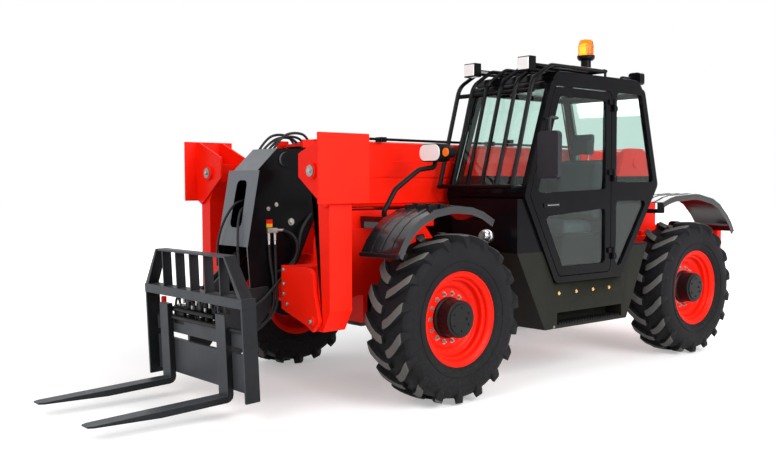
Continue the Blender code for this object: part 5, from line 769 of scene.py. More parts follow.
# Wheels
WHEELS = (
    # name, side, axle's y
    ("fl", 1, 0.0),
    ("fr", -1, 0.0),
    ("rl", 1, 3.07),
    ("rr", -1, 3.07),
)
WHEEL_X = 0.99
TYRE_RADIUS = 0.61
TYRE_STEPS = 96
LUGS_A_SIDE = 18
CARCASS = (
    # radius, distance out from the tyre's middle
    (0.313, 0.14), (0.33, 0.152), (0.345, 0.1695), (0.352, 0.1765), (0.362, 0.1765), (0.37, 0.184),
    (0.4, 0.192), (0.45, 0.1975), (0.5, 0.1955), (0.533, 0.187), (0.556, 0.168), (0.567, 0.13), (0.571, 0.06),
    (0.572, 0.0),
)
LUG_EDGE = 0.0035
LUG_SHARP_FROM = 40
# How much wider a lug is at its foot than at its top
LUG_FOOT = 1.22
LUG_SECTIONS = (
    # distance out, its radius at the foot, its radius at the top, degrees ahead, half width at the top
    (0.004, 0.56, 0.6, 0.0, 0.024),
    (0.024, 0.56, 0.6075, 0.5, 0.031),
    (0.06, 0.56, 0.61, 2.2, 0.0325),
    (0.1, 0.555, 0.6095, 5.0, 0.034),
    (0.134, 0.545, 0.607, 8.2, 0.036),
)
LUG_SHOULDER = (
    # distance out and radius at the foot, distance out and radius at the top, degrees ahead, half width
    (0.15, 0.54, 0.164, 0.604, 11.2, 0.0375),
    (0.16, 0.53, 0.184, 0.596, 13.2, 0.035),
    (0.172, 0.505, 0.197, 0.56, 13.8, 0.025),
    (0.184, 0.47, 0.2, 0.515, 14.0, 0.013),
)


def wheel_point(out, radius, degrees, ahead):
    """A place on a tyre that stands at the origin. ahead is measured round the tyre in metres."""
    angle = math.radians(degrees) + ahead / radius
    return Vector((out, -radius * math.cos(angle), radius * math.sin(angle)))


def lug(start, way):
    """One bar of the tread, from the middle of the tyre over its shoulder and down its side."""
    sections = [(out, foot, out, top, ahead, half) for out, foot, top, ahead, half in LUG_SECTIONS]
    sections += LUG_SHOULDER
    shape = bmesh.new()
    face = None
    for foot_out, foot, top_out, top, ahead, half in sections:
        corners = (
            wheel_point(way * foot_out, foot, start + ahead, -half * LUG_FOOT),
            wheel_point(way * top_out, top, start + ahead, -half),
            wheel_point(way * top_out, top, start + ahead, half),
            wheel_point(way * foot_out, foot, start + ahead, half * LUG_FOOT),
        )
        if face is None:
            face = shape.faces.new([shape.verts.new(corner) for corner in corners])
            continue
        face = next_section(shape, face, corners)
    bmesh.ops.recalc_face_normals(shape, faces=shape.faces)
    round_edges(shape, LUG_EDGE, 1, LUG_SHARP_FROM)
    return shape


def next_section(shape, face, corners):
    """Extrudes a section's face and sets the new one at its own corners."""
    ring = list(face.verts)
    made = bmesh.ops.extrude_edge_only(shape, edges=list(face.edges))["geom"]
    fresh = [part for part in made if isinstance(part, bmesh.types.BMVert)]
    pairs = {}
    for old in ring:
        pairs[old] = min(fresh, key=lambda vert: (vert.co - old.co).length)
        fresh.remove(pairs[old])
    for old, corner in zip(ring, corners):
        pairs[old].co = corner
    # The first section closes the lug's end, and the later ones would lie inside it
    if len(shape.faces) > 5:
        bmesh.ops.delete(shape, geom=[face], context="FACES_ONLY")
    return shape.faces.new([pairs[old] for old in ring])


SIDE_RING = ((0.405, 0.19), (0.408, 0.1975), (0.414, 0.1975), (0.417, 0.19))
WORN_OVER = 0.57
WORN_FACING = 0.62
WORN_SIDE_SHARE = 0.25


def tyre(name, side, y):
    centre = Vector((side * WHEEL_X, y, TYRE_RADIUS))
    outline = list(CARCASS) + [(radius, -out) for radius, out in reversed(CARCASS[:-1])]
    smooth = [turned(outline, way=(1, 0, 0), steps=TYRE_STEPS, closed=True)]
    smooth += [turned(SIDE_RING, way=(way, 0, 0), steps=TYRE_STEPS) for way in (1, -1)]
    pitch = 360 / LUGS_A_SIDE
    lugs = []
    for index in range(LUGS_A_SIDE):
        lugs.append(lug(index * pitch, 1))
        lugs.append(lug((index + 0.5) * pitch, -1))
    for shape in (*smooth, *lugs):
        shape.transform(Matrix.Translation(centre))

    def worn(face):
        """The tops of the lugs, which face away from the axle."""
        reach = face.calc_center_median() - centre
        reach.x *= WORN_SIDE_SHARE
        return reach.length > WORN_OVER and face.normal.dot(reach.normalized()) > WORN_FACING

    parts = [(shape, "tyre_rubber") for shape in smooth]
    parts += [(shape, "tyre_rubber", "worn_rubber", worn) for shape in lugs]
    put(f"tyre_{name}_tread", parts, f"wheel_{name}_body", [f"tyre_{name}"])


RIM_STEPS = 72
RIM_PROFILE = (
    # radius, distance out, round the rim from its disc to the flange and back inside
    (0.135, 0.034), (0.206, 0.034), (0.214, 0.037), (0.222, 0.046), (0.234, 0.058), (0.246, 0.062),
    (0.262, 0.064), (0.27, 0.07), (0.273, 0.08), (0.274, 0.104), (0.278, 0.11), (0.292, 0.114), (0.297, 0.12),
    (0.299, 0.14), (0.307, 0.15), (0.32, 0.155), (0.33, 0.16), (0.336, 0.167), (0.341, 0.168), (0.343, 0.163),
    (0.342, 0.156), (0.33, 0.151), (0.312, 0.146), (0.31, 0.11), (0.297, 0.1), (0.297, -0.12), (0.311, -0.15),
    (0.342, -0.156), (0.343, -0.166), (0.33, -0.166), (0.298, -0.152), (0.288, -0.13), (0.288, 0.052),
    (0.268, 0.05), (0.246, 0.047), (0.232, 0.04), (0.22, 0.026), (0.206, 0.018), (0.135, 0.018),
)
HUB_PROFILE = (
    (0.0, 0.178), (0.103, 0.178), (0.109, 0.1765), (0.112, 0.172), (0.112, 0.168), (0.128, 0.167),
    (0.1335, 0.165), (0.135, 0.161), (0.135, 0.06), (0.138, 0.055), (0.146, 0.05), (0.149, 0.044),
    (0.149, 0.034),
)
HUB_BACK_PROFILE = ((0.2, 0.017), (0.2, 0.002), (0.13, -0.004), (0.13, -0.045), (0.0, -0.045))
NUTS = 14
NUT_CIRCLE = 0.176
NUT_SIZE = 0.0125
STUD_RADIUS = 0.0065
STUD_LENGTH = 0.024
RIM_FACE_OUT = 0.034
HUB_BOLTS = 6
HUB_BOLT_CIRCLE = 0.082
HUB_BOLT_SIZE = 0.007
HUB_FACE_OUT = 0.178
PLUG_CIRCLE = 0.052
PLUG_SIZE = 0.008


def rim(name, side, y):
    centre = Vector((side * WHEEL_X, y, TYRE_RADIUS))
    out = (side, 0, 0)

    def spot(far, circle, turn):
        return Vector((side * far, circle * math.cos(turn), circle * math.sin(turn)))

    parts = [
        (turned(RIM_PROFILE, way=out, steps=RIM_STEPS, closed=True), "red_paint"),
        (turned(HUB_PROFILE, way=out, steps=48), "hub_paint"),
        (turned(HUB_BACK_PROFILE, way=out, steps=36), "frame_paint"),
    ]
    for index in range(NUTS):
        at = spot(RIM_FACE_OUT, NUT_CIRCLE, TAU * index / NUTS)
        parts.append((bolt(at, out, NUT_SIZE), "zinc"))
        tip = at + Vector((side * STUD_LENGTH, 0, 0))
        parts.append((pin(at, tip, STUD_RADIUS, 8, 0.001), "zinc"))
    for index in range(HUB_BOLTS):
        at = spot(HUB_FACE_OUT, HUB_BOLT_CIRCLE, TAU * (index + 0.5) / HUB_BOLTS)
        parts.append((bolt(at, out, HUB_BOLT_SIZE), "hub_paint"))
    parts.append((bolt(spot(HUB_FACE_OUT, PLUG_CIRCLE, 0), out, PLUG_SIZE), "hub_paint"))
    for shape, _ in parts:
        shape.transform(Matrix.Translation(centre))
    put(f"rim_{name}_detail", parts, f"wheel_{name}_body", [f"rim_{name}"], 28)


# Hoses and fittings on the head. Places were read from the photograph.
# Rows of blocks are low corner, high corner, rounding, finish.
# Rows of pins are one end, the other end, radius, steps, rounding if it isn't 2 mm, finish.
HEAD_X = 0.205
HOSE_RADIUS = 0.011
THIN_HOSE_RADIUS = 0.009
HEAD_BLOCKS = (
    ((0.205, -1.005, 1.262), (0.207, -0.955, 1.288), 0, "yellow_plate"),
    ((0.205, -1.005, 1.289), (0.207, -0.955, 1.318), 0, "red_paint"),
    ((0.204, -1.012, 1.222), (0.233, -0.925, 1.258), 0.004, "zinc"),
)
HEAD_PINS = (
    ((0.219, -0.925, 1.24), (0.219, -0.87, 1.24), 0.011, 12, "zinc"),
    ((0.219, -0.995, 1.225), (0.221, -0.995, 1.165), 0.012, 12, "zinc"),
    ((0.221, -0.995, 1.17), (0.223, -0.995, 1.12), 0.009, 12, "steel"),
    ((0.219, -0.945, 1.225), (0.221, -0.945, 1.165), 0.012, 12, "zinc"),
    ((0.221, -0.945, 1.17), (0.223, -0.945, 1.12), 0.009, 12, "steel"),
)
HEAD_LOOP = (
    (0.219, -0.88, 1.24), (0.24, -0.825, 1.225), (0.255, -0.78, 1.165), (0.26, -0.772, 1.09),
    (0.26, -0.807, 1.015), (0.255, -0.872, 0.968), (0.251, -0.955, 0.94),
)
HEAD_BOLTS = (
    # y, z, size
    (-0.989, 1.396, 0.011),
    (-0.92, 1.425, 0.011),
    (-0.793, 1.297, 0.018),
)


def head_fittings():
    """Two blank plates, a valve and a loop of hose on the left, and bolts on both sides."""
    parts = blocks(HEAD_BLOCKS) + pins(HEAD_PINS) + hoses([HEAD_LOOP], HOSE_RADIUS)
    for y, z, size in HEAD_BOLTS:
        for side in (1, -1):
            parts.append((bolt((side * HEAD_X, y, z), (side, 0, 0), size), "zinc"))
    put("head_hoses", parts, "boom_third")


TILT_HOSES = (
    # points as (distance out from the head's side, y, z)
    ((0.017, -0.995, 1.14), (0.022, -0.992, 1.02), (0.035, -0.975, 0.9), (0.04, -0.967, 0.75),
     (0.035, -0.995, 0.64), (0.01, -1.06, 0.55), (-0.03, -1.14, 0.5)),
    ((0.017, -0.945, 1.14), (0.028, -0.948, 1.02), (0.055, -0.962, 0.9), (0.062, -0.955, 0.75),
     (0.055, -0.975, 0.66), (0.02, -1.05, 0.57), (-0.03, -1.13, 0.54)),
    ((-0.002, -0.612, 1.35), (0.03, -0.69, 1.295), (0.045, -0.742, 1.22), (0.05, -0.765, 1.1),
     (0.06, -0.808, 0.997), (0.06, -0.901, 0.916), (0.06, -0.994, 0.829), (0.05, -1.093, 0.735),
     (0.01, -1.18, 0.69)),
)


def tilt_hoses():
    """Hoses from the head to the carriage, attached to no body."""
    runs = [[(HEAD_X + out, y, z) for out, y, z in run] for run in TILT_HOSES]
    thing = put("tilt_hoses", hoses(runs, HOSE_RADIUS), None)
    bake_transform(thing)


CREST_HOSES_X = (-0.09, -0.03, 0.04, 0.1)
CREST_HOSE_RADIUS = 0.01
CREST_RUN = (
    # share of the hose's x, y, z at the middle, how much higher for each metre from the middle
    (1.0, -0.87, 1.825, 0),
    (1.0, -0.8, 1.885, 0.4),
    (1.1, -0.68, 1.915, 0.4),
    (1.1, -0.57, 1.89, 0.4),
    (1.0, -0.535, 1.83, 0),
)
CREST_BLOCKS = (
    ((0.153, -0.66, 1.84), (0.177, -0.56, 1.9), 0.004, "red_paint"),
    ((-0.177, -0.66, 1.84), (-0.153, -0.56, 1.9), 0.004, "red_paint"),
    ((-0.16, -0.62, 1.85), (0.16, -0.58, 1.875), 0.005, "red_paint"),
)


def crest_hoses():
    """Hoses that arch over from the head to the end of the inner boom."""
    runs = [[(x * share, y, z + lift * abs(x)) for share, y, z, lift in CREST_RUN] for x in CREST_HOSES_X]
    put("crest_hoses", hoses(runs, CREST_HOSE_RADIUS) + blocks(CREST_BLOCKS), "boom_third")


GUARD_BAR_ENDS = ((0.776, -0.605, 1.084), (1.174, -0.605, 1.084))
GUARD_BAR_RADIUS = 0.017
CLIPS_X = (0.86, 0.975, 1.09)
CLIP_BLOCKS = (
    # half width, low y and z, high y and z
    (0.035, (-0.17, 1.398), (-0.13, 1.432)),
    (0.012, (-0.26, 1.375), (-0.05, 1.424)),
)


def mudguard_trim():
    """The rounded bar and the clips of the front mudguards."""
    parts = []
    for side in (1, -1):
        ends = [(side * x, y, z) for x, y, z in GUARD_BAR_ENDS]
        parts.append((pin(*ends, GUARD_BAR_RADIUS, 16, 0.005), "plastic"))
        for x in CLIPS_X:
            for half, low, high in CLIP_BLOCKS:
                clip = block((side * x - half, *low), (side * x + half, *high), 0.006)
                parts.append((clip, "plastic"))
    put("mudguard_trim", parts, "machine")


SLOT_HOSES = (
    ((-0.02, -1.00, 1.45), (-0.03, -1.09, 1.46), (-0.065, -1.155, 1.37), (-0.105, -1.2, 1.24),
     (-0.13, -1.215, 1.1), (-0.135, -1.205, 0.98)),
    ((0.02, -1.00, 1.42), (0.03, -1.09, 1.42), (0.055, -1.145, 1.33), (0.09, -1.175, 1.2),
     (0.11, -1.185, 1.09), (0.115, -1.18, 1.00)),
)


def slot_hoses():
    """Two hoses that come out of the slot in the head's front and go down behind the carriage."""
    put("slot_hoses", hoses(SLOT_HOSES, THIN_HOSE_RADIUS), "boom_third")


HOUSING_BOLTS = (
    # x on the left side, y, z, size
    (0.36, -0.967, 0.97, 0.012), (0.36, -0.967, 0.87, 0.012), (0.36, -0.967, 0.8, 0.012),
    (0.4, -0.967, 0.73, 0.012), (0.48, -0.766, 1.14, 0.012), (0.7, -0.982, 0.64, 0.014),
)
HOUSING_PIN_ENDS = ((0.48, -0.757, 1.14), (0.48, -0.766, 1.14))
HOUSING_PIN_RADIUS = 0.024
FOOT_PIN_X = 0.69
FOOT_PIN_Z = 1.66
FOOT_PIN_FACES = ((-0.971, -1), (-0.699, 1))
FOOT_RING = ((0.018, 0), (0.04, 0), (0.04, 0.006), (0.018, 0.006))
FOOT_BOLT_OUT = 0.004
FOOT_BOLT_SIZE = 0.016


def stabiliser_bolts():
    """Silver pin ends and bolts of the stabiliser housing and of the feet."""
    parts = []
    for side in (1, -1):
        for x, y, z, size in HOUSING_BOLTS:
            parts.append((bolt((side * x, y, z), (0, -1, 0), size), "zinc"))
        ends = [(side * x, y, z) for x, y, z in HOUSING_PIN_ENDS]
        parts.append((pin(*ends, HOUSING_PIN_RADIUS, 20, 0.004), "zinc"))
    put("housing_bolts", parts, "machine")
    for side, name in ((1, "left"), (-1, "right")):
        x = side * FOOT_PIN_X
        parts = []
        for y, way in FOOT_PIN_FACES:
            ring = turned(FOOT_RING, (x, y, FOOT_PIN_Z), (0, way, 0), closed=True)
            parts.append((ring, "bright_trim"))
            head = bolt((x, y + way * FOOT_BOLT_OUT, FOOT_PIN_Z), (0, way, 0), FOOT_BOLT_SIZE)
            parts.append((head, "zinc"))
        put(f"foot_pin_{name}", parts, f"foot_{name}")


# Cab: bolts, teeth of the step, filler cap and door handle
SKIRT_X = 1.1
SKIRT_BOLTS = (
    # y, z, size, finish
    (1.16, 0.7, 0.01, "brass"),
    (1.38, 0.7, 0.01, "brass"),
    (1.6, 0.7, 0.01, "brass"),
    (1.82, 0.7, 0.01, "brass"),
    (1.1, 0.435, 0.008, "zinc"),
)
TEETH = 24
TOOTH = ((0, 0.446), (0.026, 0.446), (0.018, 0.462), (0.008, 0.462))
FIRST_TOOTH_Y = 1.17
TOOTH_PITCH = 0.034
TOOTH_FROM_X = 0.98
TOOTH_TO_X = 1.096
CAP_AT = (0.92, 0.53, 1.17)
CAP_WAY = (0.3, -1, 0.12)
CAP_PROFILE = (
    (0, 0.1), (0.03, 0.1), (0.034, 0.094), (0.034, 0.07), (0.044, 0.066), (0.044, 0.03), (0.052, 0.026),
    (0.052, 0.0), (0, 0),
)


def cab_trim():
    parts = [(bolt((SKIRT_X, y, z), (1, 0, 0), size), look) for y, z, size, look in SKIRT_BOLTS]
    for index in range(TEETH):
        outline = [(FIRST_TOOTH_Y + index * TOOTH_PITCH + y, z) for y, z in TOOTH]
        parts.append((plate(outline, "x", TOOTH_FROM_X, TOOTH_TO_X, 0.001, 1), "frame_paint"))
    parts.append((turned(CAP_PROFILE, CAP_AT, CAP_WAY, 28), "steel"))
    put("cab_trim", parts, "machine")


HANDLE_PLATES = (
    # side outline, inner x, outer x, finish
    (((0.94, 1.385), (1.13, 1.39), (1.13, 1.425), (0.94, 1.42)), 1.12, 1.13, "plastic"),
    (((0.965, 1.398), (1.105, 1.402), (1.105, 1.412), (0.965, 1.408)), 1.132, 1.144, "bright_trim"),
)
HANDLE_PINS = (
    ((1.126, 0.975, 1.403), (1.138, 0.975, 1.403), 0.006, 10, "bright_trim"),
    ((1.126, 1.095, 1.407), (1.138, 1.095, 1.407), 0.006, 10, "bright_trim"),
)


def door_trim():
    parts = [(plate(outline, "x", low, high, 0.004), look) for outline, low, high, look in HANDLE_PLATES]
    put("door_trim", parts + pins(HANDLE_PINS), "door")


def oval(wide, tall, corner, steps=6):
    """The outline of a rounded rectangle about the middle."""
    points = []
    for index, (way, rise_way) in enumerate(((1, 1), (-1, 1), (-1, -1), (1, -1))):
        for step in range(steps + 1):
            angle = (index + step / steps) * TAU / 4
            across = way * (wide / 2 - corner) + corner * math.cos(angle)
            points.append((across, rise_way * (tall / 2 - corner) + corner * math.sin(angle)))
    return points


BEZEL_OUT = 0.005
LENS_LESS = 0.014
LENS_IN = 0.004
LENS_OUT = 0.012
LENS_EDGE = 0.0022
LEAST_CORNER = 0.004
SINGLE_LAMPS = (
    # middle of the face, way it looks along y, width, height, corner, lens
    ((1.00, 0.8405, 2.5), -1, 0.12, 0.106, 0.012, "white_lens"),
    ((0.42, 0.8405, 2.5), -1, 0.12, 0.106, 0.012, "white_lens"),
    ((0.93, 2.4755, 2.4995), 1, 0.11, 0.09, 0.012, "white_lens"),
)
PAIRED_LAMPS = (
    ((0.59, 0.2355, 1.81), -1, 0.232, 0.138, 0.06, "white_lens"),
    ((0.745, 0.2555, 1.81), -1, 0.08, 0.08, 0.04, "orange_lens"),
    ((0.7, 3.9884, 1.00), 1, 0.15, 0.092, 0.01, "red_lens"),
)
MIRROR_X = 1.3
MIRROR_Z = 1.7875
MIRROR_FROM_Y = 0.8145
MIRROR_TO_Y = 0.8175
MIRROR_OVAL = (0.175, 0.325, 0.03)


def lamp_face(at, way, wide, tall, corner, lens):
    """A bezel and a domed lens on a flat face that looks along y. way is -1 forwards, 1 backwards."""
    parts = []
    for less, low, high, look in ((0, 0, BEZEL_OUT, "plastic"), (LENS_LESS, LENS_IN, LENS_OUT, lens)):
        outline = oval(wide - less, tall - less, max(corner - less / 2, LEAST_CORNER))
        shape = plate(outline, "y", low, high, LENS_EDGE, 3)
        if way < 0:
            bmesh.ops.scale(shape, vec=(1, -1, 1), verts=shape.verts)
            bmesh.ops.recalc_face_normals(shape, faces=shape.faces)
        bmesh.ops.translate(shape, vec=at, verts=shape.verts)
        parts.append((shape, look))
    return parts


def lamp_faces():
    """Lenses and bezels of the lamps, and the faces of the mirrors."""
    parts = []
    for row in SINGLE_LAMPS:
        parts += lamp_face(*row)
    for side in (1, -1):
        for (x, y, z), *rest in PAIRED_LAMPS:
            parts += lamp_face((side * x, y, z), *rest)
        outline = [(side * MIRROR_X + x, MIRROR_Z + z) for x, z in oval(*MIRROR_OVAL)]
        parts.append((plate(outline, "y", MIRROR_FROM_Y, MIRROR_TO_Y, 0.001, 1), "mirror_face"))
    put("lamp_faces", parts, "machine")


BEACON_AT = (0.7, 2.0105, 2.6803)
BEACON_RING = ((0.02, -0.03), (0.06, -0.03), (0.076, -0.012), (0.078, 0.012), (0.02, 0.012))
BEACON_LENS = (
    (0, 0.012), (0.074, 0.012), (0.074, 0.02), (0.07, 0.024), (0.068, 0.09), (0.07, 0.093),
    (0.07, 0.099), (0.066, 0.103), (0.062, 0.132), (0.049, 0.149), (0.027, 0.157), (0, 0.1595),
)


def beacon_detail():
    ring = turned(BEACON_RING, BEACON_AT, steps=36, closed=True)
    put("beacon_ring", [(ring, "plastic")], "machine")
    lens = turned(BEACON_LENS, BEACON_AT, steps=36)
    put("beacon_lens", [(lens, "amber_lens")], "machine", ["beacon"])


# Guard in front of the windscreen: tubes over the frame's own bars, and rails across them, as (y, z)
GUARD_TUBE = 0.0165
GUARD_FIRST_X = 0.306
GUARD_LAST_X = 1.084
GUARD_LINES = 6
GUARD_RUN = ((0.61, 1.5498), (0.84, 2.37), (1.06, 2.5), (1.74, 2.5))
GUARD_BEND = 0.16
GUARD_RAILS = ((0.61, 1.5498), (0.8335, 2.29), (1.74, 2.5))
GUARD_RAIL_RADIUS = 0.018
GUARD_RAIL_PAST = 0.016


def guard_tubes():
    parts = []
    for index in range(GUARD_LINES):
        x = GUARD_FIRST_X + (GUARD_LAST_X - GUARD_FIRST_X) * index / (GUARD_LINES - 1)
        run = bent([(x, y, z) for y, z in GUARD_RUN], GUARD_BEND, 5)
        parts.append((hose(run, GUARD_TUBE, smooth=False), "black_paint"))
    for y, z in GUARD_RAILS:
        ends = ((GUARD_FIRST_X - GUARD_RAIL_PAST, y, z), (GUARD_LAST_X + GUARD_RAIL_PAST, y, z))
        parts.append((pin(*ends, GUARD_RAIL_RADIUS, 16, 0.004), "black_paint"))
    put("guard_tubes", parts, "machine")


# Boom: pressed panels on its sides, a pipe along its top edge, and plates beside its foot
BOOM_SIDE = 0.205
PANEL_SINK = 0.001
PANEL_OUT = 0.01
PANELS = (
    # outline as (y, z)
    ((-0.36, 1.625), (2.9, 1.625), (2.9, 1.752), (-0.36, 1.752)),
    ((-0.36, 1.418), (2.9, 1.418), (2.9, 1.606), (-0.36, 1.606)),
)
PIPE_RUN = ((0.1, -0.3, 1.945), (0.235, -0.24, 1.925), (0.235, -0.1, 1.918), (0.235, 2.6, 1.918))
PIPE_CLIPS_Y = (0.06, 1.3, 2.45)
PIPE_CLIP_HALVES = ((-0.028, -0.006), (0.006, 0.028))
SHOULDER = ((-0.56, 1.232), (0.5, 1.232), (0.5, 1.3), (0.42, 1.37), (-0.5, 1.37), (-0.56, 1.33))
SHOULDER_INNER_X = 0.3
SHOULDER_OUTER_X = 0.356


def boom_details():
    parts = []
    for side in (1, -1):
        for outline in PANELS:
            inner, outer = side * (BOOM_SIDE - PANEL_SINK), side * (BOOM_SIDE + PANEL_OUT)
            parts.append((plate(outline, "x", inner, outer, 0.006), "red_paint"))
    parts.append((hose(PIPE_RUN, HOSE_RADIUS), "black_paint"))
    for y in PIPE_CLIPS_Y:
        for near, far in PIPE_CLIP_HALVES:
            clip = block((0.175, y + near, 1.9), (0.253, y + far, 1.938), 0.004)
            parts.append((clip, "black_paint"))
    put("boom_details", parts, "boom")
    parts = []
    for side in (1, -1):
        shape = plate(SHOULDER, "x", side * SHOULDER_INNER_X, side * SHOULDER_OUTER_X, 0.008)
        parts.append((shape, "red_paint"))
    put("shoulder_plates", parts, "machine")


SHAFT_PINS = (
    ((-0.6, -1.435, 0.6), (0.6, -1.435, 0.6), 0.016, 20, 0.003, "hub_paint"),
    ((-0.4, -1.425, 0.66), (0.2, -1.425, 0.66), 0.02, 20, 0.004, "black_paint"),
)
VALVE_BLOCKS = (
    ((0.225, -1.425, 0.6), (0.27, -1.345, 0.71), 0.01, "plastic"),
    ((-0.4, -1.425, 0.55), (-0.25, -1.345, 0.69), 0.01, "plastic"),
)
SHAFT_END_PINS = (
    ((-0.6, -1.4, 0.66), (-0.6, -1.4, 0.73), 0.02, 16, 0.004, "red_paint"),
    ((-0.6, -1.4, 0.6), (-0.6, -1.4, 0.66), 0.01, 12, "zinc"),
)
SHORT_HOSES = 11
SHORT_HOSES_FROM_X = -0.39
SHORT_HOSES_SPAN = 0.62
NIPPLE_Y = -1.412
NIPPLE_LENGTH = 0.035
NIPPLE_RADIUS = 0.01
SHORT_RUN = (
    # how many times the hose's lean it goes over, y, how far above the nipple's foot
    (0, -1.412, 0.03),
    (0, -1.412, 0.09),
    (1, -1.408, 0.12),
    (2, -1.408, 0.06),
    (2.3, -1.41, -0.05),
)


def carriage_details():
    """The forks' shaft, valves and short hoses behind the fork tops."""
    parts = pins(SHAFT_PINS) + blocks(VALVE_BLOCKS) + pins(SHAFT_END_PINS)
    for index in range(SHORT_HOSES):
        x = SHORT_HOSES_FROM_X + SHORT_HOSES_SPAN * (index / (SHORT_HOSES - 1))
        foot_z = 0.63 + 0.04 * (index % 3)
        lean = 0.035 + 0.015 * (index % 2)
        ends = ((x, NIPPLE_Y, foot_z), (x, NIPPLE_Y, foot_z + NIPPLE_LENGTH))
        parts.append((pin(*ends, NIPPLE_RADIUS, 10), "zinc"))
        run = [(x + over * lean, y, foot_z + up) for over, y, up in SHORT_RUN]
        parts += hoses([run], THIN_HOSE_RADIUS)
    put("carriage_details", parts, "carriage")


# Seat
SEAT_PARTS = (
    # name, corners of the side outline as (y, z), half width, how far the cloth may swell, floor under it
    ("cushion", ((1.44, 1.152), (1.83, 1.152), (1.83, 1.245), (1.44, 1.255)), 0.225, 0.014, 1.1405),
    ("back", ((1.835, 1.262), (1.925, 1.262), (2.012, 1.775), (1.922, 1.775)), 0.225, 0.014, 1.1405),
    ("headrest", ((1.925, 1.822), (1.995, 1.822), (1.998, 2.005), (1.94, 2.005)), 0.118, 0.01, 1.8),
)
SEAT_X = 0.7
SEAT_VOXEL = 0.006
SEAT_PRESSURE = 4
SWELL_FRAMES = 20


CUSHION_ROUND = 0.022
PIPING_IN = 0.075
PIPING_RADIUS = 0.0035
PIPING_STEPS = 14
PIPING = {
    # part: y and z where its first ray starts, how far the starts go, and the rays' direction
    "cushion": ((1.455, 1.5), (0.36, 0.0), (0, 0, -1)),
    "back": ((1.4, 1.29), (0.0, 0.46), (0, 1, 0)),
}
SEAT_FRAME_BLOCK = (((0.47, 1.455, 1.1402), (0.93, 1.9, 1.15), 0.003, "plastic"),)
SEAT_BACK_OUTLINE = ((1.935, 1.16), (1.955, 1.16), (2.035, 1.78), (2.015, 1.78))
HEADREST_PINS = (
    ((0.64, 1.968, 1.77), (0.64, 1.968, 1.84), 0.007, 12, 0.001, "bright_trim"),
    ((0.76, 1.968, 1.77), (0.76, 1.968, 1.84), 0.007, 12, 0.001, "bright_trim"),
)


def swollen(shape, cap, floor_z):
    """The shape blown up as a cloth cushion. No point moves more than cap, and none goes below its seat."""
    mesh = bpy.data.meshes.new("soft")
    shape.to_mesh(mesh)
    shape.free()
    soft = shown("soft", mesh)
    scene = bpy.context.scene
    mould = soft.modifiers.new("voxels", "REMESH")
    mould.mode = "VOXEL"
    mould.voxel_size = SEAT_VOXEL * 1
    soft.data = worked_mesh(soft)
    soft.modifiers.remove(mould)
    start = [vert.co.copy() for vert in soft.data.vertices]
    cloth = soft.modifiers.new("cloth", "CLOTH")
    cloth.settings.use_pressure = True
    cloth.settings.uniform_pressure_force = SEAT_PRESSURE
    cloth.settings.effector_weights.gravity = 0
    for moment in range(1, SWELL_FRAMES + 1):
        scene.frame_set(moment)
    blown = worked_mesh(soft)
    soft.modifiers.remove(cloth)
    soft.data = blown
    scene.frame_set(1)
    for vert, begin in zip(soft.data.vertices, start):
        way = vert.co - begin
        if way.length > cap:
            vert.co = begin + way.normalized() * cap
        vert.co.z = max(vert.co.z, floor_z)
    done = bmesh.new()
    done.from_mesh(soft.data)
    bpy.data.objects.remove(soft)
    return done


def channel(shape, name, x):
    """A line of piping laid on a cushion's upper side."""
    surface = BVHTree.FromBMesh(shape)
    (y, z), (far_y, far_z), way = PIPING[name]
    run = []
    for step in range(PIPING_STEPS + 1):
        share = step / PIPING_STEPS
        hit = surface.ray_cast(Vector((x, y + far_y * share, z + far_z * share)), Vector(way))[0]
        if hit:
            run.append(hit)
    return hose(run, PIPING_RADIUS)


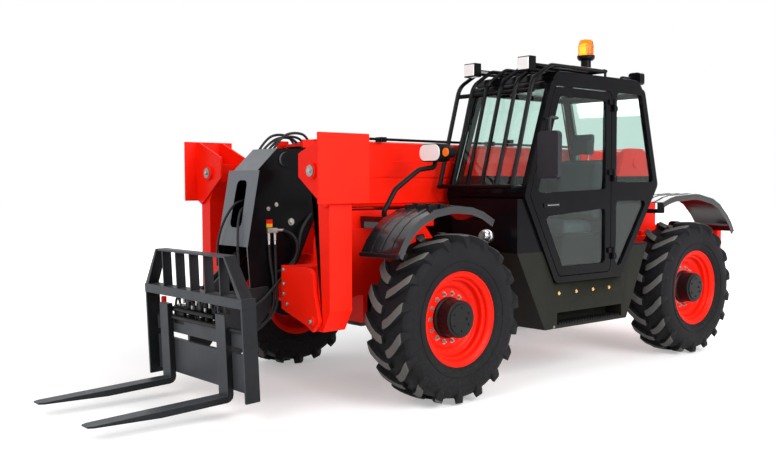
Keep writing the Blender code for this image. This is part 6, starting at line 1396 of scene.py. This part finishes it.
def seat():
    for index, (name, outline, half, cap, floor_z) in enumerate(SEAT_PARTS):
        shape = swollen(plate(outline, "x", SEAT_X - half, SEAT_X + half, CUSHION_ROUND, 3), cap, floor_z)
        piping = []
        if name in PIPING:
            for way in (1, -1):
                piping.append((channel(shape, name, SEAT_X + way * (half - PIPING_IN)), "seal_rubber"))
        thing = put(f"seat_{name}", [(shape, "seat_cloth")], "machine", ["seat"] if index == 0 else ())
        smooth = thing.modifiers.new("smooth", "SUBSURF")
        smooth.levels = smooth.render_levels = 1
        if piping:
            put(f"seat_{name}_piping", piping, "machine")
    parts = blocks(SEAT_FRAME_BLOCK)
    parts.append((plate(SEAT_BACK_OUTLINE, "x", 0.47, 0.93, 0.006), "plastic"))
    put("seat_frame", parts + pins(HEADREST_PINS), "machine")


ARMREST = (((0.405, 1.46, 1.16), (0.455, 1.8, 1.215), 0.012, "plastic"),)
LEVERS = (
    ((0.43, 1.5, 1.21), (0.43, 1.47, 1.33), 0.008, 12, "plastic"),
    ((0.43, 1.474, 1.32), (0.43, 1.455, 1.4), 0.018, 16, 0.008, "plastic"),
    ((0.43, 1.57, 1.21), (0.43, 1.55, 1.29), 0.006, 12, "zinc"),
    ((0.43, 1.551, 1.285), (0.43, 1.545, 1.315), 0.014, 16, 0.006, "red_paint"),
)
LOUVRES = 9
FIRST_LOUVRE_Y = 1.05
LOUVRE_PITCH = 0.105
LOUVRE_WIDE = 0.06
HOOD_HANDLE = (((-1.118, 2.1, 1.28), (-1.098, 2.22, 1.31), 0.005, "bright_trim"),)


def cab_controls():
    """The armrest and the levers beside the seat."""
    put("cab_controls", blocks(ARMREST) + pins(LEVERS), "machine")


def engine_details():
    """Louvres and a handle on the engine's side, which the photograph doesn't show."""
    parts = []
    for index in range(LOUVRES):
        y = FIRST_LOUVRE_Y + index * LOUVRE_PITCH
        slat = block((-1.106, y, 1.235), (-1.098, y + LOUVRE_WIDE, 1.395), 0.003)
        parts.append((slat, "frame_paint"))
    put("hood_louvres", parts + blocks(HOOD_HANDLE), "hood")


def main():
    camera()
    light()
    floor()
    keep_frame()
    rounded_pieces()
    painted_pieces()
    for wheel in WHEELS:
        tyre(*wheel)
        rim(*wheel)
    head_fittings()
    tilt_hoses()
    crest_hoses()
    slot_hoses()
    mudguard_trim()
    stabiliser_bolts()
    cab_trim()
    door_trim()
    lamp_faces()
    beacon_detail()
    guard_tubes()
    boom_details()
    carriage_details()
    seat()
    cab_controls()
    engine_details()


main()
